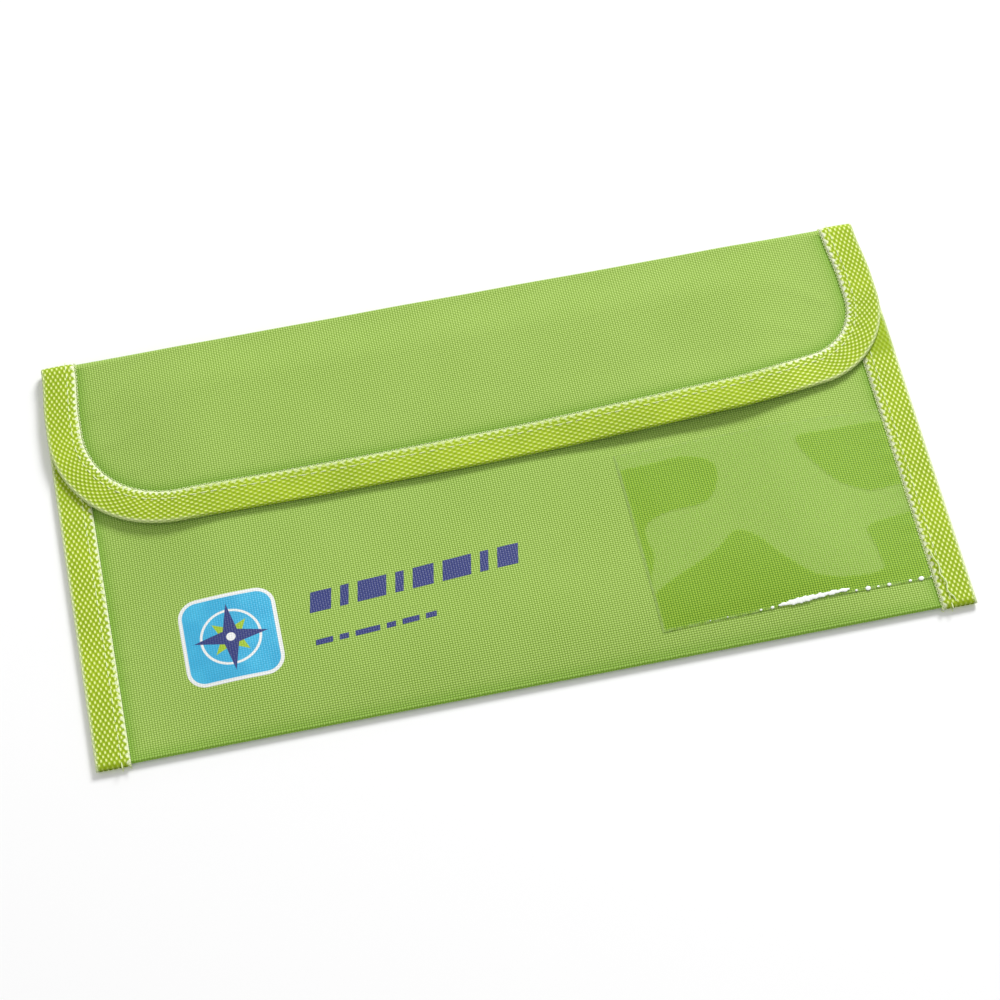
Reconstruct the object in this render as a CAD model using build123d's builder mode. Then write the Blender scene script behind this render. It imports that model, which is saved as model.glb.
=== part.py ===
from build123d import *
import math
import os

# Travel document and passport wallet, lying closed on its back.
# Origin: centre of the footprint, on the table. +X runs along the width,
# +Y towards the top fold that the flap hangs from, +Z up. Millimetres.

# ---------------------------------------------------------------- driving sizes
wallet_width = 225.0  # over the side bindings
wallet_depth = 120.0  # bottom fold to top fold
cloth_thick = 0.4  # coated polyester outer cloth
lining_thick = 0.2  # light lining of the divider and the inner pockets
tape_thick = 0.4  # ribbed binding tape
tape_width = 8.5  # one leaf of the folded binding tape
mouth_tape_thick = 0.3
mouth_tape_width = 6.0
mouth_tape_clear = 3.0  # mouth tape stops this far inside the side seams
thread_width = 0.4
thread_sink = 0.15  # stitches are pulled down into the tape
thread_inset = 1.5  # stitch line, in from the tape's inner edge

compartment_clear = 4.5  # main compartment, eased open for a passport
mouth_drop = 13.2  # mouth of the pouch below the hinge line
divider_drop = 7.2
seam_margin = 1.0  # flat cloth between the side tape's inner edge and the ramp
side_ramp = 21.0  # cloth rising from a side seam to the crown
bottom_ramp = 19.0
bottom_flat = 2.5

flap_narrowing = 1.0  # flap is this much narrower than the pouch, each side
flap_gap = 0.3  # flap binding above the side bindings
flap_drop_left = 56.4  # top fold to the flap's lower edge, at the left corner
flap_drop_right = 46.6
flap_edge_bow = 2.8  # the lower edge bows down by this much
flap_corner_left = 27.5
flap_corner_right = 21.5
fold_reach = 2.2  # how far the top fold bulges past the hinge line
hinge_gap = 0.5

patch_thick = 0.5  # each half of the hook-and-loop fastener
patch_gap = 0.1
patch_corner = 1.5
hook_length = 50.0
hook_height = 16.0
loop_margin = 2.0
patch_above_tape = 2.5

film_thick = 0.2
window_width = 80.0  # left edge of the film to the wallet's right edge
window_height = 50.0
window_above_bottom = 7.0
weld_width = 1.2
weld_thick = 0.1

passport_pocket_width = 128.0
passport_pocket_height = 80.0
card_pocket_width = 64.0
card_pocket_height = 62.0
pocket_seam_clear = 5.0  # pockets stay this far inside the pouch's seams
pocket_bottom_clear = 3.0

print_thick = 0.1
badge_side = 25.0
badge_corner = 5.0
badge_from_left = 38.5
badge_from_bottom = 28.0
line_slope = 3.4  # degrees
line_from_badge = 7.5
upper_line_length = 57.0
upper_line_height = 8.0
upper_line_rise = 5.0  # above the badge's centre
lower_line_length = 35.0
lower_line_height = 4.0
lower_line_drop = 6.5

# --------------------------------------------------------------- derived places
half_width = wallet_width / 2
bottom_y = -wallet_depth / 2
top_y = wallet_depth / 2
cloth_x = half_width - tape_thick
leaf_x = half_width - tape_width
seam_x = leaf_x - seam_margin
crown_x = seam_x - side_ramp

back_low = tape_thick
back_top = back_low + cloth_thick
divider_high = back_top + lining_thick
pocket_high = divider_high + lining_thick
seam_low = divider_high
seam_top = seam_low + cloth_thick
binding_top = seam_top + tape_thick
front_low = pocket_high + compartment_clear
front_top = front_low + cloth_thick
flap_low = front_top + 2 * patch_thick + patch_gap
flap_top = flap_low + cloth_thick
flap_side_low = binding_top + flap_gap + tape_thick

bottom_fold_radius = (seam_top - back_low) / 2
bottom_fold_z = (seam_top + back_low) / 2
fold_y = bottom_y + bottom_fold_radius
ramp_y = fold_y + bottom_flat
crown_y = ramp_y + bottom_ramp
fold_mid_y = top_y - tape_thick - cloth_thick / 2
hinge_y = fold_mid_y - fold_reach
mouth_y = hinge_y - mouth_drop
divider_y = hinge_y - divider_drop

flap_cloth_x = cloth_x - flap_narrowing
flap_outer_x = flap_cloth_x + tape_thick
flap_leaf_x = flap_outer_x - tape_width
flap_left_y = top_y - flap_drop_left
flap_right_y = top_y - flap_drop_right
flap_middle_y = (flap_left_y + flap_right_y) / 2 - flap_edge_bow
flap_far_y = flap_middle_y - tape_width  # past the flap's lowest point

# The top fold is half an ellipse across each section. Its cloth keeps its
# length as the flap opens, through two quarter turns about the axes below.
back_mid = back_low + cloth_thick / 2
crown_fold_half = (flap_low + cloth_thick / 2 - back_mid) / 2
crown_fold_z = back_mid + crown_fold_half
side_fold_half = (flap_side_low + cloth_thick / 2 - back_mid) / 2
side_fold_z = back_mid + side_fold_half
spine_y = hinge_y + hinge_gap
spine_reach = fold_reach - hinge_gap
axis_sum = 3 * (fold_reach + crown_fold_half)
axis_root = math.sqrt((3 * fold_reach + crown_fold_half) * (fold_reach + 3 * crown_fold_half))
quarter_fold = math.pi / 4 * (axis_sum - axis_root)
axis_y = hinge_y + (quarter_fold - crown_fold_half + fold_reach) / 2
axis_rise = (quarter_fold + crown_fold_half - fold_reach) / 2
lower_axis_z = crown_fold_z - axis_rise
upper_axis_z = crown_fold_z + axis_rise

tall = 3 * flap_top  # taller than anything in the wallet, for through cuts

os.makedirs("parts", exist_ok=True)


# ------------------------------------------------------------- shared geometry
def flat_rectangle(x_low, x_high, y_low, y_high, z):
    """Flat rectangle between two corners at height z."""
    with BuildSketch(Plane.XY.offset(z)) as outline:
        with Locations(((x_low + x_high) / 2, (y_low + y_high) / 2)):
            Rectangle(x_high - x_low, y_high - y_low)
    return outline.sketch


def slab(x_low, x_high, y_low, y_high, z_low, z_high, mode=Mode.ADD):
    """Flat slab of cloth, tape or film, for the part being built."""
    extrude(flat_rectangle(x_low, x_high, y_low, y_high, z_low), z_high - z_low, mode=mode)


def pillow(base_z, crown_z, mode=Mode.ADD):
    """Swell of the pouch's front: ramps at both sides and the bottom, open at the mouth."""
    base = flat_rectangle(-seam_x, seam_x, ramp_y, mouth_y, base_z)
    crown = flat_rectangle(-crown_x, crown_x, crown_y, mouth_y, crown_z)
    loft([base, crown], ruled=True, mode=mode)


def skin_on_front(thick, outline, under=0.0):
    """Thin skin lying on the front panel, inside a plan outline."""
    slab(-cloth_x, cloth_x, fold_y, mouth_y, seam_top, seam_top + under + thick)
    pillow(seam_top + under + thick, front_top + under + thick)
    if under > 0:
        slab(-cloth_x, cloth_x, fold_y, mouth_y, seam_top, seam_top + under, mode=Mode.SUBTRACT)
    pillow(seam_top + under, front_top + under, mode=Mode.SUBTRACT)
    extrude(outline, tall, mode=Mode.INTERSECT)


def ridge(edge_x, side_z, crown_z, under, over, y_low, y_high):
    """Band across the wallet that follows side, ramp and crown, from y_low to y_high."""
    corners = [
        (-edge_x, side_z),
        (-seam_x, side_z),
        (-crown_x, crown_z),
        (crown_x, crown_z),
        (seam_x, side_z),
        (edge_x, side_z),
    ]
    upper = [(x, z + over) for x, z in corners]
    lower = [(x, z - under) for x, z in reversed(corners)]
    with BuildSketch(Plane.XZ.offset(-y_high)) as section:
        with BuildLine():
            Polyline(*upper, *lower, close=True)
        make_face()
    extrude(section.sketch, y_high - y_low)


def flap_outline(grow):
    """Plan shape of the flap's cut edge grown outwards by grow, open past the hinge."""
    far_y = top_y + tape_width
    with BuildSketch() as outline:
        with BuildLine():
            lower = ThreePointArc(
                (-flap_cloth_x, flap_left_y + tape_thick),
                (0, flap_middle_y + tape_thick),
                (flap_cloth_x, flap_right_y + tape_thick),
            )
            Polyline(lower @ 1, (flap_cloth_x, far_y), (-flap_cloth_x, far_y), lower @ 0)
        make_face()
        low_corners = outline.vertices().sort_by(Axis.Y)[:2].sort_by(Axis.X)
        fillet(low_corners[0], flap_corner_left)
        fillet(outline.vertices().sort_by(Axis.X)[-2:].sort_by(Axis.Y)[0], flap_corner_right)
        if grow != 0:
            offset(amount=grow, kind=Kind.INTERSECTION)
    return outline.sketch


def half_ellipse(x, z, reach, half_height):
    """Half ellipse bulging past the top fold, at one place along the width."""
    with BuildSketch(Plane.YZ.offset(x)) as outline:
        with Locations((spine_y, z)):
            Ellipse(reach, half_height)
            Rectangle(reach, 2 * half_height, align=(Align.MAX, Align.CENTER), mode=Mode.SUBTRACT)
    return outline.sketch


def fold_volume(grow, mode=Mode.ADD):
    """Everything inside the top fold's cloth surface, grown outwards by grow."""
    stations = [
        (-flap_cloth_x, side_fold_z, side_fold_half),
        (-seam_x, side_fold_z, side_fold_half),
        (-crown_x, crown_fold_z, crown_fold_half),
        (crown_x, crown_fold_z, crown_fold_half),
        (seam_x, side_fold_z, side_fold_half),
        (flap_cloth_x, side_fold_z, side_fold_half),
    ]
    sections = [half_ellipse(x, z, spine_reach + grow, half + grow) for x, z, half in stations]
    loft(sections, ruled=True, mode=mode)


def side_fold_tube(side, inner_x, outer_x, grow, mode=Mode.ADD):
    """Solid half ellipse across one end of the top fold, between two places along X."""
    section = half_ellipse(side * inner_x, side_fold_z, spine_reach + grow, side_fold_half + grow)
    extrude(section, side * (outer_x - inner_x), mode=mode)


def save(node, label):
    """Name a finished piece and write it."""
    node.part.label = label
    export_step(node.part, f"parts/{label}.step")


# ------------------------------------------------------------------ outer cloth
with BuildPart() as back_panel:
    slab(-cloth_x, cloth_x, fold_y, hinge_y, back_low, back_top)
save(back_panel, "back_panel")

with BuildPart() as bottom_fold:
    with BuildSketch(Plane.YZ):
        with Locations((fold_y, bottom_fold_z)):
            Circle(bottom_fold_radius)
            Circle(bottom_fold_radius - cloth_thick, mode=Mode.SUBTRACT)
            Rectangle(
                bottom_fold_radius,
                2 * bottom_fold_radius,
                align=(Align.MIN, Align.CENTER),
                mode=Mode.SUBTRACT,
            )
    extrude(amount=cloth_x, both=True)
save(bottom_fold, "bottom_fold")

with BuildPart() as front_panel:
    slab(-cloth_x, cloth_x, fold_y, mouth_y, seam_low, seam_top)
    pillow(seam_top, front_top)
    pillow(seam_low, front_low, mode=Mode.SUBTRACT)
save(front_panel, "front_panel")

with BuildPart() as top_fold:
    fold_volume(cloth_thick / 2)
    fold_volume(-cloth_thick / 2, mode=Mode.SUBTRACT)
save(top_fold, "top_fold")

with BuildPart() as flap_panel:
    ridge(flap_cloth_x, flap_side_low, flap_low, 0, cloth_thick, flap_far_y, hinge_y)
    extrude(flap_outline(0), tall, mode=Mode.INTERSECT)
save(flap_panel, "flap_panel")

# ------------------------------------------------------------- mouth of the pouch
mouth_leaf_y = mouth_y + mouth_tape_thick - mouth_tape_width
mouth_thread_y = mouth_leaf_y + thread_inset
mouth_tape_x = seam_x - mouth_tape_clear
mouth_plan = flat_rectangle(-mouth_tape_x, mouth_tape_x, mouth_leaf_y, mouth_y + mouth_tape_thick, 0)

with BuildPart() as mouth_thread:
    ridge(
        cloth_x,
        seam_top + mouth_tape_thick,
        front_top + mouth_tape_thick,
        thread_sink,
        0,
        mouth_thread_y - thread_width / 2,
        mouth_thread_y + thread_width / 2,
    )
    extrude(mouth_plan, tall, mode=Mode.INTERSECT)
save(mouth_thread, "mouth_thread")

with BuildPart() as mouth_binding:
    ridge(
        cloth_x,
        seam_top,
        front_top,
        cloth_thick + mouth_tape_thick,
        mouth_tape_thick,
        mouth_leaf_y,
        mouth_y + mouth_tape_thick,
    )
    extrude(mouth_plan, tall, mode=Mode.INTERSECT)
    add(front_panel.part, mode=Mode.SUBTRACT)
    add(mouth_thread.part, mode=Mode.SUBTRACT)
save(mouth_binding, "mouth_binding")

# ----------------------------------------------------------- inside of the pouch
with BuildPart() as divider:
    slab(-cloth_x, cloth_x, fold_y, divider_y, back_top, divider_high)
save(divider, "divider")

pocket_low_y = ramp_y + pocket_bottom_clear
passport_left_x = -(seam_x - pocket_seam_clear)
passport_right_x = passport_left_x + passport_pocket_width
card_right_x = seam_x - pocket_seam_clear
card_left_x = card_right_x - card_pocket_width
passport_high_y = pocket_low_y + passport_pocket_height
card_high_y = pocket_low_y + card_pocket_height
pocket_seam_z = pocket_high - lining_thick / 2

with BuildPart() as pocket_threads:
    for left_x, right_x, high_y in (
        (passport_left_x, passport_right_x, passport_high_y),
        (card_left_x, card_right_x, card_high_y),
    ):
        slab(
            left_x + thread_inset,
            right_x - thread_inset,
            pocket_low_y + thread_inset,
            high_y,
            pocket_seam_z,
            pocket_high,
        )
        slab(
            left_x + thread_inset + thread_width,
            right_x - thread_inset - thread_width,
            pocket_low_y + thread_inset + thread_width,
            high_y,
            pocket_seam_z,
            pocket_high,
            mode=Mode.SUBTRACT,
        )
save(pocket_threads, "pocket_threads")

with BuildPart() as passport_pocket:
    slab(passport_left_x, passport_right_x, pocket_low_y, passport_high_y, divider_high, pocket_high)
    add(pocket_threads.part, mode=Mode.SUBTRACT)
save(passport_pocket, "passport_pocket")

with BuildPart() as card_pocket:
    slab(card_left_x, card_right_x, pocket_low_y, card_high_y, divider_high, pocket_high)
    add(pocket_threads.part, mode=Mode.SUBTRACT)
save(card_pocket, "card_pocket")

# ----------------------------------------------------------------- clear window
window_left_x = half_width - window_width
window_low_y = bottom_y + window_above_bottom
window_high_y = window_low_y + window_height

with BuildPart() as window_film:
    skin_on_front(
        film_thick,
        flat_rectangle(window_left_x, cloth_x, window_low_y, window_high_y, 0),
    )
save(window_film, "window_film")

with BuildSketch() as weld_plan:
    with BuildLine():
        Polyline(
            (window_left_x, window_high_y),
            (window_left_x, window_low_y),
            (leaf_x, window_low_y),
            (leaf_x, window_low_y + weld_width),
            (window_left_x + weld_width, window_low_y + weld_width),
            (window_left_x + weld_width, window_high_y),
            close=True,
        )
    make_face()

with BuildPart() as window_weld:
    skin_on_front(weld_thick, weld_plan.sketch, under=film_thick)
save(window_weld, "window_weld")

# ------------------------------------------------------- printed badge and lines
badge_x = badge_from_left - half_width
badge_y = bottom_y + badge_from_bottom

with BuildSketch() as badge_plan:
    with Locations((badge_x, badge_y)):
        RectangleRounded(badge_side, badge_side, badge_corner)

with BuildPart() as badge_print:
    skin_on_front(print_thick, badge_plan.sketch)
save(badge_print, "badge_print")

line_left_x = badge_x + badge_side / 2 + line_from_badge
upper_line_y = badge_y + upper_line_rise
lower_line_y = badge_y - lower_line_drop

with BuildSketch() as line_plan:
    with Locations(Location((line_left_x, upper_line_y), line_slope)):
        Rectangle(upper_line_length, upper_line_height, align=(Align.MIN, Align.CENTER))
    with Locations(Location((line_left_x, lower_line_y), line_slope)):
        Rectangle(lower_line_length, lower_line_height, align=(Align.MIN, Align.CENTER))

with BuildPart() as line_print:
    skin_on_front(print_thick, line_plan.sketch)
save(line_print, "line_print")

# ---------------------------------------------------------------- side bindings
for side, name in ((-1, "left"), (1, "right")):
    edge_x = side * half_width
    inner_x = side * leaf_x
    stitch_x = side * (leaf_x + thread_inset)
    thread_reach = thread_width / 2

    with BuildPart() as side_thread:
        slab(
            stitch_x - thread_reach,
            stitch_x + thread_reach,
            bottom_y,
            hinge_y,
            binding_top - thread_sink,
            binding_top,
        )
    save(side_thread, f"{name}_side_thread")

    with BuildPart() as side_binding:
        slab(min(edge_x, inner_x), max(edge_x, inner_x), bottom_y, hinge_y, 0, binding_top)
        slab(-cloth_x, cloth_x, bottom_y, hinge_y, back_low, seam_top, mode=Mode.SUBTRACT)
        add(window_film.part, mode=Mode.SUBTRACT)
        add(side_thread.part, mode=Mode.SUBTRACT)
    save(side_binding, f"{name}_side_binding")

# -------------------------------------------------- bindings across the top fold
for side, name in ((-1, "left"), (1, "right")):
    stitch_x = flap_leaf_x + thread_inset
    stitch_low_x = stitch_x - thread_width / 2
    stitch_high_x = stitch_x + thread_width / 2
    leaf_grow = cloth_thick / 2 + tape_thick

    with BuildPart() as fold_thread:
        side_fold_tube(side, stitch_low_x, stitch_high_x, leaf_grow)
        side_fold_tube(side, stitch_low_x, stitch_high_x, leaf_grow - thread_sink, mode=Mode.SUBTRACT)
    save(fold_thread, f"{name}_fold_thread")

    with BuildPart() as fold_binding:
        side_fold_tube(side, flap_leaf_x, flap_outer_x, leaf_grow)
        side_fold_tube(side, flap_leaf_x, flap_outer_x, -leaf_grow, mode=Mode.SUBTRACT)
        add(top_fold.part, mode=Mode.SUBTRACT)
        add(fold_thread.part, mode=Mode.SUBTRACT)
    save(fold_binding, f"{name}_fold_binding")

# ---------------------------------------------------------------- flap's binding
with BuildPart() as flap_thread:
    ridge(
        flap_outer_x,
        flap_side_low + cloth_thick + tape_thick,
        flap_top + tape_thick,
        thread_sink,
        0,
        flap_far_y,
        hinge_y,
    )
    extrude(
        flap_outline(tape_thick - tape_width + thread_inset + thread_width / 2),
        tall,
        mode=Mode.INTERSECT,
    )
    extrude(
        flap_outline(tape_thick - tape_width + thread_inset - thread_width / 2),
        tall,
        mode=Mode.SUBTRACT,
    )
save(flap_thread, "flap_thread")

with BuildPart() as flap_binding:
    ridge(
        flap_outer_x,
        flap_side_low,
        flap_low,
        tape_thick,
        cloth_thick + tape_thick,
        flap_far_y,
        hinge_y,
    )
    extrude(flap_outline(tape_thick), tall, mode=Mode.INTERSECT)
    extrude(flap_outline(tape_thick - tape_width), tall, mode=Mode.SUBTRACT)
    add(flap_panel.part, mode=Mode.SUBTRACT)
    add(flap_thread.part, mode=Mode.SUBTRACT)
save(flap_binding, "flap_binding")

# ------------------------------------------------------------ hook-and-loop pair
hook_low_y = flap_middle_y + tape_width + patch_above_tape

with BuildPart() as hook_patch:
    slab(
        -hook_length / 2,
        hook_length / 2,
        hook_low_y,
        hook_low_y + hook_height,
        flap_low - patch_thick,
        flap_low,
    )
    fillet(hook_patch.edges().filter_by(Axis.Z), radius=patch_corner)
save(hook_patch, "hook_patch")

with BuildPart() as loop_patch:
    slab(
        -hook_length / 2 - loop_margin,
        hook_length / 2 + loop_margin,
        hook_low_y - loop_margin,
        hook_low_y + hook_height + loop_margin,
        front_top,
        front_top + patch_thick,
    )
    fillet(loop_patch.edges().filter_by(Axis.Z), radius=patch_corner)
save(loop_patch, "loop_patch")
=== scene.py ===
import math

import bmesh
import bpy
import numpy as np
from mathutils import Matrix, Vector


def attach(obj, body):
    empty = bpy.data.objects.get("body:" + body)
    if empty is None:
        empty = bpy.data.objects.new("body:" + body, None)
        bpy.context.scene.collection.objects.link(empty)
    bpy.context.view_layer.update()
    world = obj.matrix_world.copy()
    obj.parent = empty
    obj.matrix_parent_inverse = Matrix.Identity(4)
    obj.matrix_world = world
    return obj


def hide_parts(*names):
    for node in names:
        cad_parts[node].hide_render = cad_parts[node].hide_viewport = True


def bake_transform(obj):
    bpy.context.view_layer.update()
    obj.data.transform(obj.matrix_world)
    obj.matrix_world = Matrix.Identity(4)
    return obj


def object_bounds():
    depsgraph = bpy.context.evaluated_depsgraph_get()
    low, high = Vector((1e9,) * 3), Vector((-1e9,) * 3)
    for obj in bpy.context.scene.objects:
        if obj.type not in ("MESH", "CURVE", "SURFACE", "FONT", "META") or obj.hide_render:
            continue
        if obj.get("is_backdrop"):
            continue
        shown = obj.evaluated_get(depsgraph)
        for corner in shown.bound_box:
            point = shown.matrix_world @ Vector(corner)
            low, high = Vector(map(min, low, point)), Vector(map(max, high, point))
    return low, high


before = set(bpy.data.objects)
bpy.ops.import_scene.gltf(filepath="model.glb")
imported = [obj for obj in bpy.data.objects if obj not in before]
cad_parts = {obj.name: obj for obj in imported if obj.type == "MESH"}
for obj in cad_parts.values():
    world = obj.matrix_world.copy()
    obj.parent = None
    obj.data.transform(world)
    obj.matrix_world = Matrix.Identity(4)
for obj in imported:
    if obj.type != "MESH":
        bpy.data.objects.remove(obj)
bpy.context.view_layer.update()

# A travel document wallet that lies closed on its back. The shapes are worked out in
# millimetres, in the frame of the parts, and every mesh is made in metres.
MM = 0.001

# ------------------------------------------------------------------ sizes, millimetres
CLOTH_X = 112.1  # cut edge of the pouch's cloth, inside the side tape
FLAP_X = 111.1  # cut edge of the flap's cloth
SEAM_X = 104.0  # inner edge of the side tape
FOLD_Y = -59.6  # clean fold along the bottom
MOUTH_Y = 44.0  # edge of the pouch's front, under the flap
HINGE_Y = 57.2  # where the cloth turns into the top fold
DIVIDER_Y = 50.0
NARROW_Y = 45.0  # from here up the wallet narrows and thins towards the top fold
TAPE_END_Y = -60.7  # cut end of the side tapes
CLOTH = 0.4
CORE = CLOTH / 2  # half of what a tape folded over one cloth holds
LINING = 0.2
TAPE = 0.38
TAPE_LEAF = 8.5
MOUTH_LEAF = 5.7
FLAP_TAPE_OUT = 0.4  # the flap's tape stands out past its cloth by this much
FLAP_TAPE_X = FLAP_X + FLAP_TAPE_OUT
FLAP_CORNERS = (33.0, 26.0)  # left and right
BACK_MID = 0.6
SEAM_MID = 1.2
CROWN_MID = 4.2
FLAP_SIDE_MID = 2.7
THREAD_INSET = 2.3  # stitch line, in from the tape's inner edge
PATCH_LOW_Y = 18.1
BADGE_X, BADGE_Y = -74.0, -32.0
BADGE_HALF, BADGE_CORNER = 12.5, 5.0
PASSPORT_POCKET = (-98, 30, -54, 26)  # left, right, bottom, top
CARD_POCKET = (34, 98, -54, 8)
POCKET_SEAM = 1.5
CLOTH_PITCH = {"Pitch_across": 0.66, "Pitch_along": 0.59}
TURN = 2 * math.pi


# ----------------------------------------------------------------- curves and surfaces
def ease(t):
    """0 below 0, 1 above 1, smooth between."""
    t = np.clip(t, 0.0, 1.0)
    return t * t * (3 - 2 * t)


def ripple(x, y):
    """Slight unevenness of cloth that has been folded and eased open."""
    return (
        0.10 * np.sin(0.061 * x + 0.4) * np.sin(0.083 * y + 1.1)
        + 0.05 * np.sin(0.17 * x - 0.11 * y + 0.7)
        + 0.035 * np.sin(0.23 * x + 0.19 * y + 2.0)
    )


def seam_dip(distance):
    """Cloth pressed down close beside a sewn tape."""
    return 0.28 * np.exp(-((distance / 1.6) ** 2))


def front_rise(x, y):
    """Height of the middle of the front's cloth."""
    side = ease((SEAM_X - np.abs(x)) / 34.0)
    foot = 1 - (1 - np.clip((y - FOLD_Y) / 26.0, 0, 1)) ** 2.3
    mouth = 1 - 0.05 * ease((y - 16.0) / 24.0)
    z = SEAM_MID + (CROWN_MID - SEAM_MID) * side * foot * mouth
    pucker = 0.05 * np.sin(2 * math.pi * y / 5.2 + 0.4 * np.sin(y / 7.0))
    near = np.exp(-(((SEAM_X - np.abs(x)) / 4.0) ** 2)) * (np.abs(x) < SEAM_X)
    z = z + ripple(x, y) * side * foot + pucker * near * foot
    # the front sinks in a shallow fold under the right part of the flap's edge
    z = z - 0.55 * np.exp(-(((x - 46.0) / 24.0) ** 2)) * np.exp(-(((y - 4.5) / 2.6) ** 2))
    return z - seam_dip(SEAM_X - np.abs(x)) * (np.abs(x) < SEAM_X) * 0.6


def edge_line(x):
    """Flap's outer edge along the bottom, before its corners are rounded."""
    share = x / FLAP_TAPE_X
    return 6.4 + 1.95 * share - 2.7 * (1 - share**2) + 4.5 * ease((x - 66.0) / 40.0)


def edge_slope(x):
    return (edge_line(x + 0.01) - edge_line(x - 0.01)) / 0.02


def corner_start(side, radius):
    """Where a round corner meets the lower edge: x, height of its centre, and lean there."""
    centre = side * (FLAP_TAPE_X - radius)
    x = centre
    for _ in range(6):
        lean = math.atan(edge_slope(x))
        x = centre + radius * math.sin(lean)
    return x, edge_line(x) + radius * math.cos(lean), lean


def flap_edge_path():
    """Outline of the flap from the left end of the top fold, round the corners, to the right."""
    a = FLAP_TAPE_X
    r_left, r_right = FLAP_CORNERS
    x_left, y_left, lean_left = corner_start(-1, r_left)
    x_right, y_right, lean_right = corner_start(1, r_right)
    points = [(-a, y) for y in np.linspace(HINGE_Y, y_left, 60, endpoint=False)]
    for t in np.linspace(math.pi, 1.5 * math.pi + lean_left, 80, endpoint=False):
        points.append((-a + r_left + r_left * math.cos(t), y_left + r_left * math.sin(t)))
    for x in np.linspace(x_left, x_right, 260, endpoint=False):
        points.append((x, edge_line(x)))
    for t in np.linspace(1.5 * math.pi + lean_right, 2 * math.pi, 80, endpoint=False):
        points.append((a - r_right + r_right * math.cos(t), y_right + r_right * math.sin(t)))
    points += [(a, y) for y in np.linspace(y_right, HINGE_Y, 60)]
    points = np.array(points)
    points[:, 0] *= 1 + 0.008 * ease((HINGE_Y - points[:, 1]) / 15.0)
    return points


def spaced(points, step):
    """The same path with its points evenly spaced, and the distance along it."""
    gaps = np.linalg.norm(np.diff(points, axis=0), axis=1)
    along = np.concatenate([[0], np.cumsum(gaps)])
    count = max(2, int(round(along[-1] / step)) + 1)
    wanted = np.linspace(0, along[-1], count)
    parts = [np.interp(wanted, along, points[:, k]) for k in range(points.shape[1])]
    return np.stack(parts, 1), wanted


FLAP_EDGE, FLAP_ALONG = spaced(flap_edge_path(), 0.8)


def edge_distance(x, y):
    """Distance from the flap's outer edge, inwards."""
    place = np.stack([np.ravel(x), np.ravel(y)], 1)
    coarse = FLAP_EDGE[::2]
    away = np.full(len(place), 1e9)
    for low in range(0, len(place), 4000):
        part = place[low : low + 4000]
        gap = np.linalg.norm(part[:, None] - coarse[None], axis=2)
        away[low : low + 4000] = gap.min(1)
    return away.reshape(np.shape(x))


# faint pull lines in the flap's cloth, from the tape's corners inward
PULLS = [
    (-101.0, 40.0, -84.0, 55.0, 0.26),
    (-99.0, 30.0, -80.0, 40.0, 0.16),
    (-93.0, 21.0, -76.0, 27.0, 0.14),
    (99.0, 34.0, 84.0, 46.0, 0.18),
    (93.0, 25.0, 74.0, 33.0, 0.14),
]


def pull(x, y, x0, y0, x1, y1, height):
    """A low ridge from one point to another, fading toward the second."""
    reach = math.hypot(x1 - x0, y1 - y0)
    ax, ay = (x1 - x0) / reach, (y1 - y0) / reach
    along = ((x - x0) * ax + (y - y0) * ay) / reach
    off = (x - x0) * ay - (y - y0) * ax
    width = 1.3 + 1.8 * np.clip(along, 0, 1)
    fade = ease(along / 0.15) * ease((1.1 - along) / 0.8)
    return height * np.exp(-((off / width) ** 2)) * fade


def flap_rise(x, y):
    """Height of the middle of the flap's cloth, without the dip beside its tape."""
    over = 4.55 + 1.2 * ease((HINGE_Y - y) / 15.0) - 0.45 * ease((22.0 - y) / 14.0)
    near_edge = ease((26.0 - y) / 18.0)
    over = over + 1.2 * near_edge * np.exp(-(((x - 60.0) / 32.0) ** 2))
    side = ease((SEAM_X + 0.5 - np.abs(x)) / 34.0)
    z = FLAP_SIDE_MID + (over - FLAP_SIDE_MID) * side + ripple(x * 0.9 + 31, y + 17) * side
    z = z + 0.5 * near_edge * np.exp(-(((x + 82.0) / 15.0) ** 2))
    for x0, y0, x1, y1, height in PULLS:
        z = z + pull(x, y, x0, y0, x1, y1, height)
    return z


def fold_point(x, turn):
    """Middle of the top fold's cloth: turn runs from 0 at the back to pi at the flap."""
    low, high = BACK_MID, flap_rise(x, HINGE_Y + 0 * x)
    bulk = ease((SEAM_X - np.abs(x)) / 40.0)
    deep = 2.1 - 0.75 * bulk
    y = HINGE_Y - 0.5 * bulk * np.sin(turn) ** 2 + deep * np.sin(turn)
    z = (low + high) / 2 - (high - low) / 2 * np.cos(turn)
    return y, z


# ------------------------------------------------------------------------ mesh helpers
def placed(name, data):
    """New object in the scene, at the origin."""
    obj = bpy.data.objects.new(name, data)
    bpy.context.scene.collection.objects.link(obj)
    return obj


def smoothed(mesh, smooth=True):
    mesh.polygons.foreach_set("use_smooth", [smooth] * len(mesh.polygons))


def mark(obj, label, values):
    """One number for each of a piece's points, for its material to read."""
    layer = obj.data.attributes.new(label, "FLOAT", "POINT")
    layer.data.foreach_set("value", values.astype(np.float32))


def places_of(obj):
    """A piece's points in millimetres."""
    co = np.empty(len(obj.data.vertices) * 3)
    obj.data.vertices.foreach_get("co", co)
    return co.reshape(-1, 3) / MM


def add_mesh(name, verts, faces, material, uvs=None):
    """Object made from places in millimetres. uvs gives one pair for each face corner."""
    mesh = bpy.data.meshes.new(name)
    mesh.from_pydata((np.asarray(verts, float) * MM).tolist(), [], faces)
    if uvs is not None:
        layer = mesh.uv_layers.new(name="grain")
        layer.uv.foreach_set("vector", np.asarray(uvs, np.float32).ravel())
    mesh.materials.append(material)
    mesh.update()
    work = bmesh.new()
    work.from_mesh(mesh)
    bmesh.ops.recalc_face_normals(work, faces=work.faces)
    work.to_mesh(mesh)
    work.free()
    smoothed(mesh)
    return placed(name, mesh)


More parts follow.
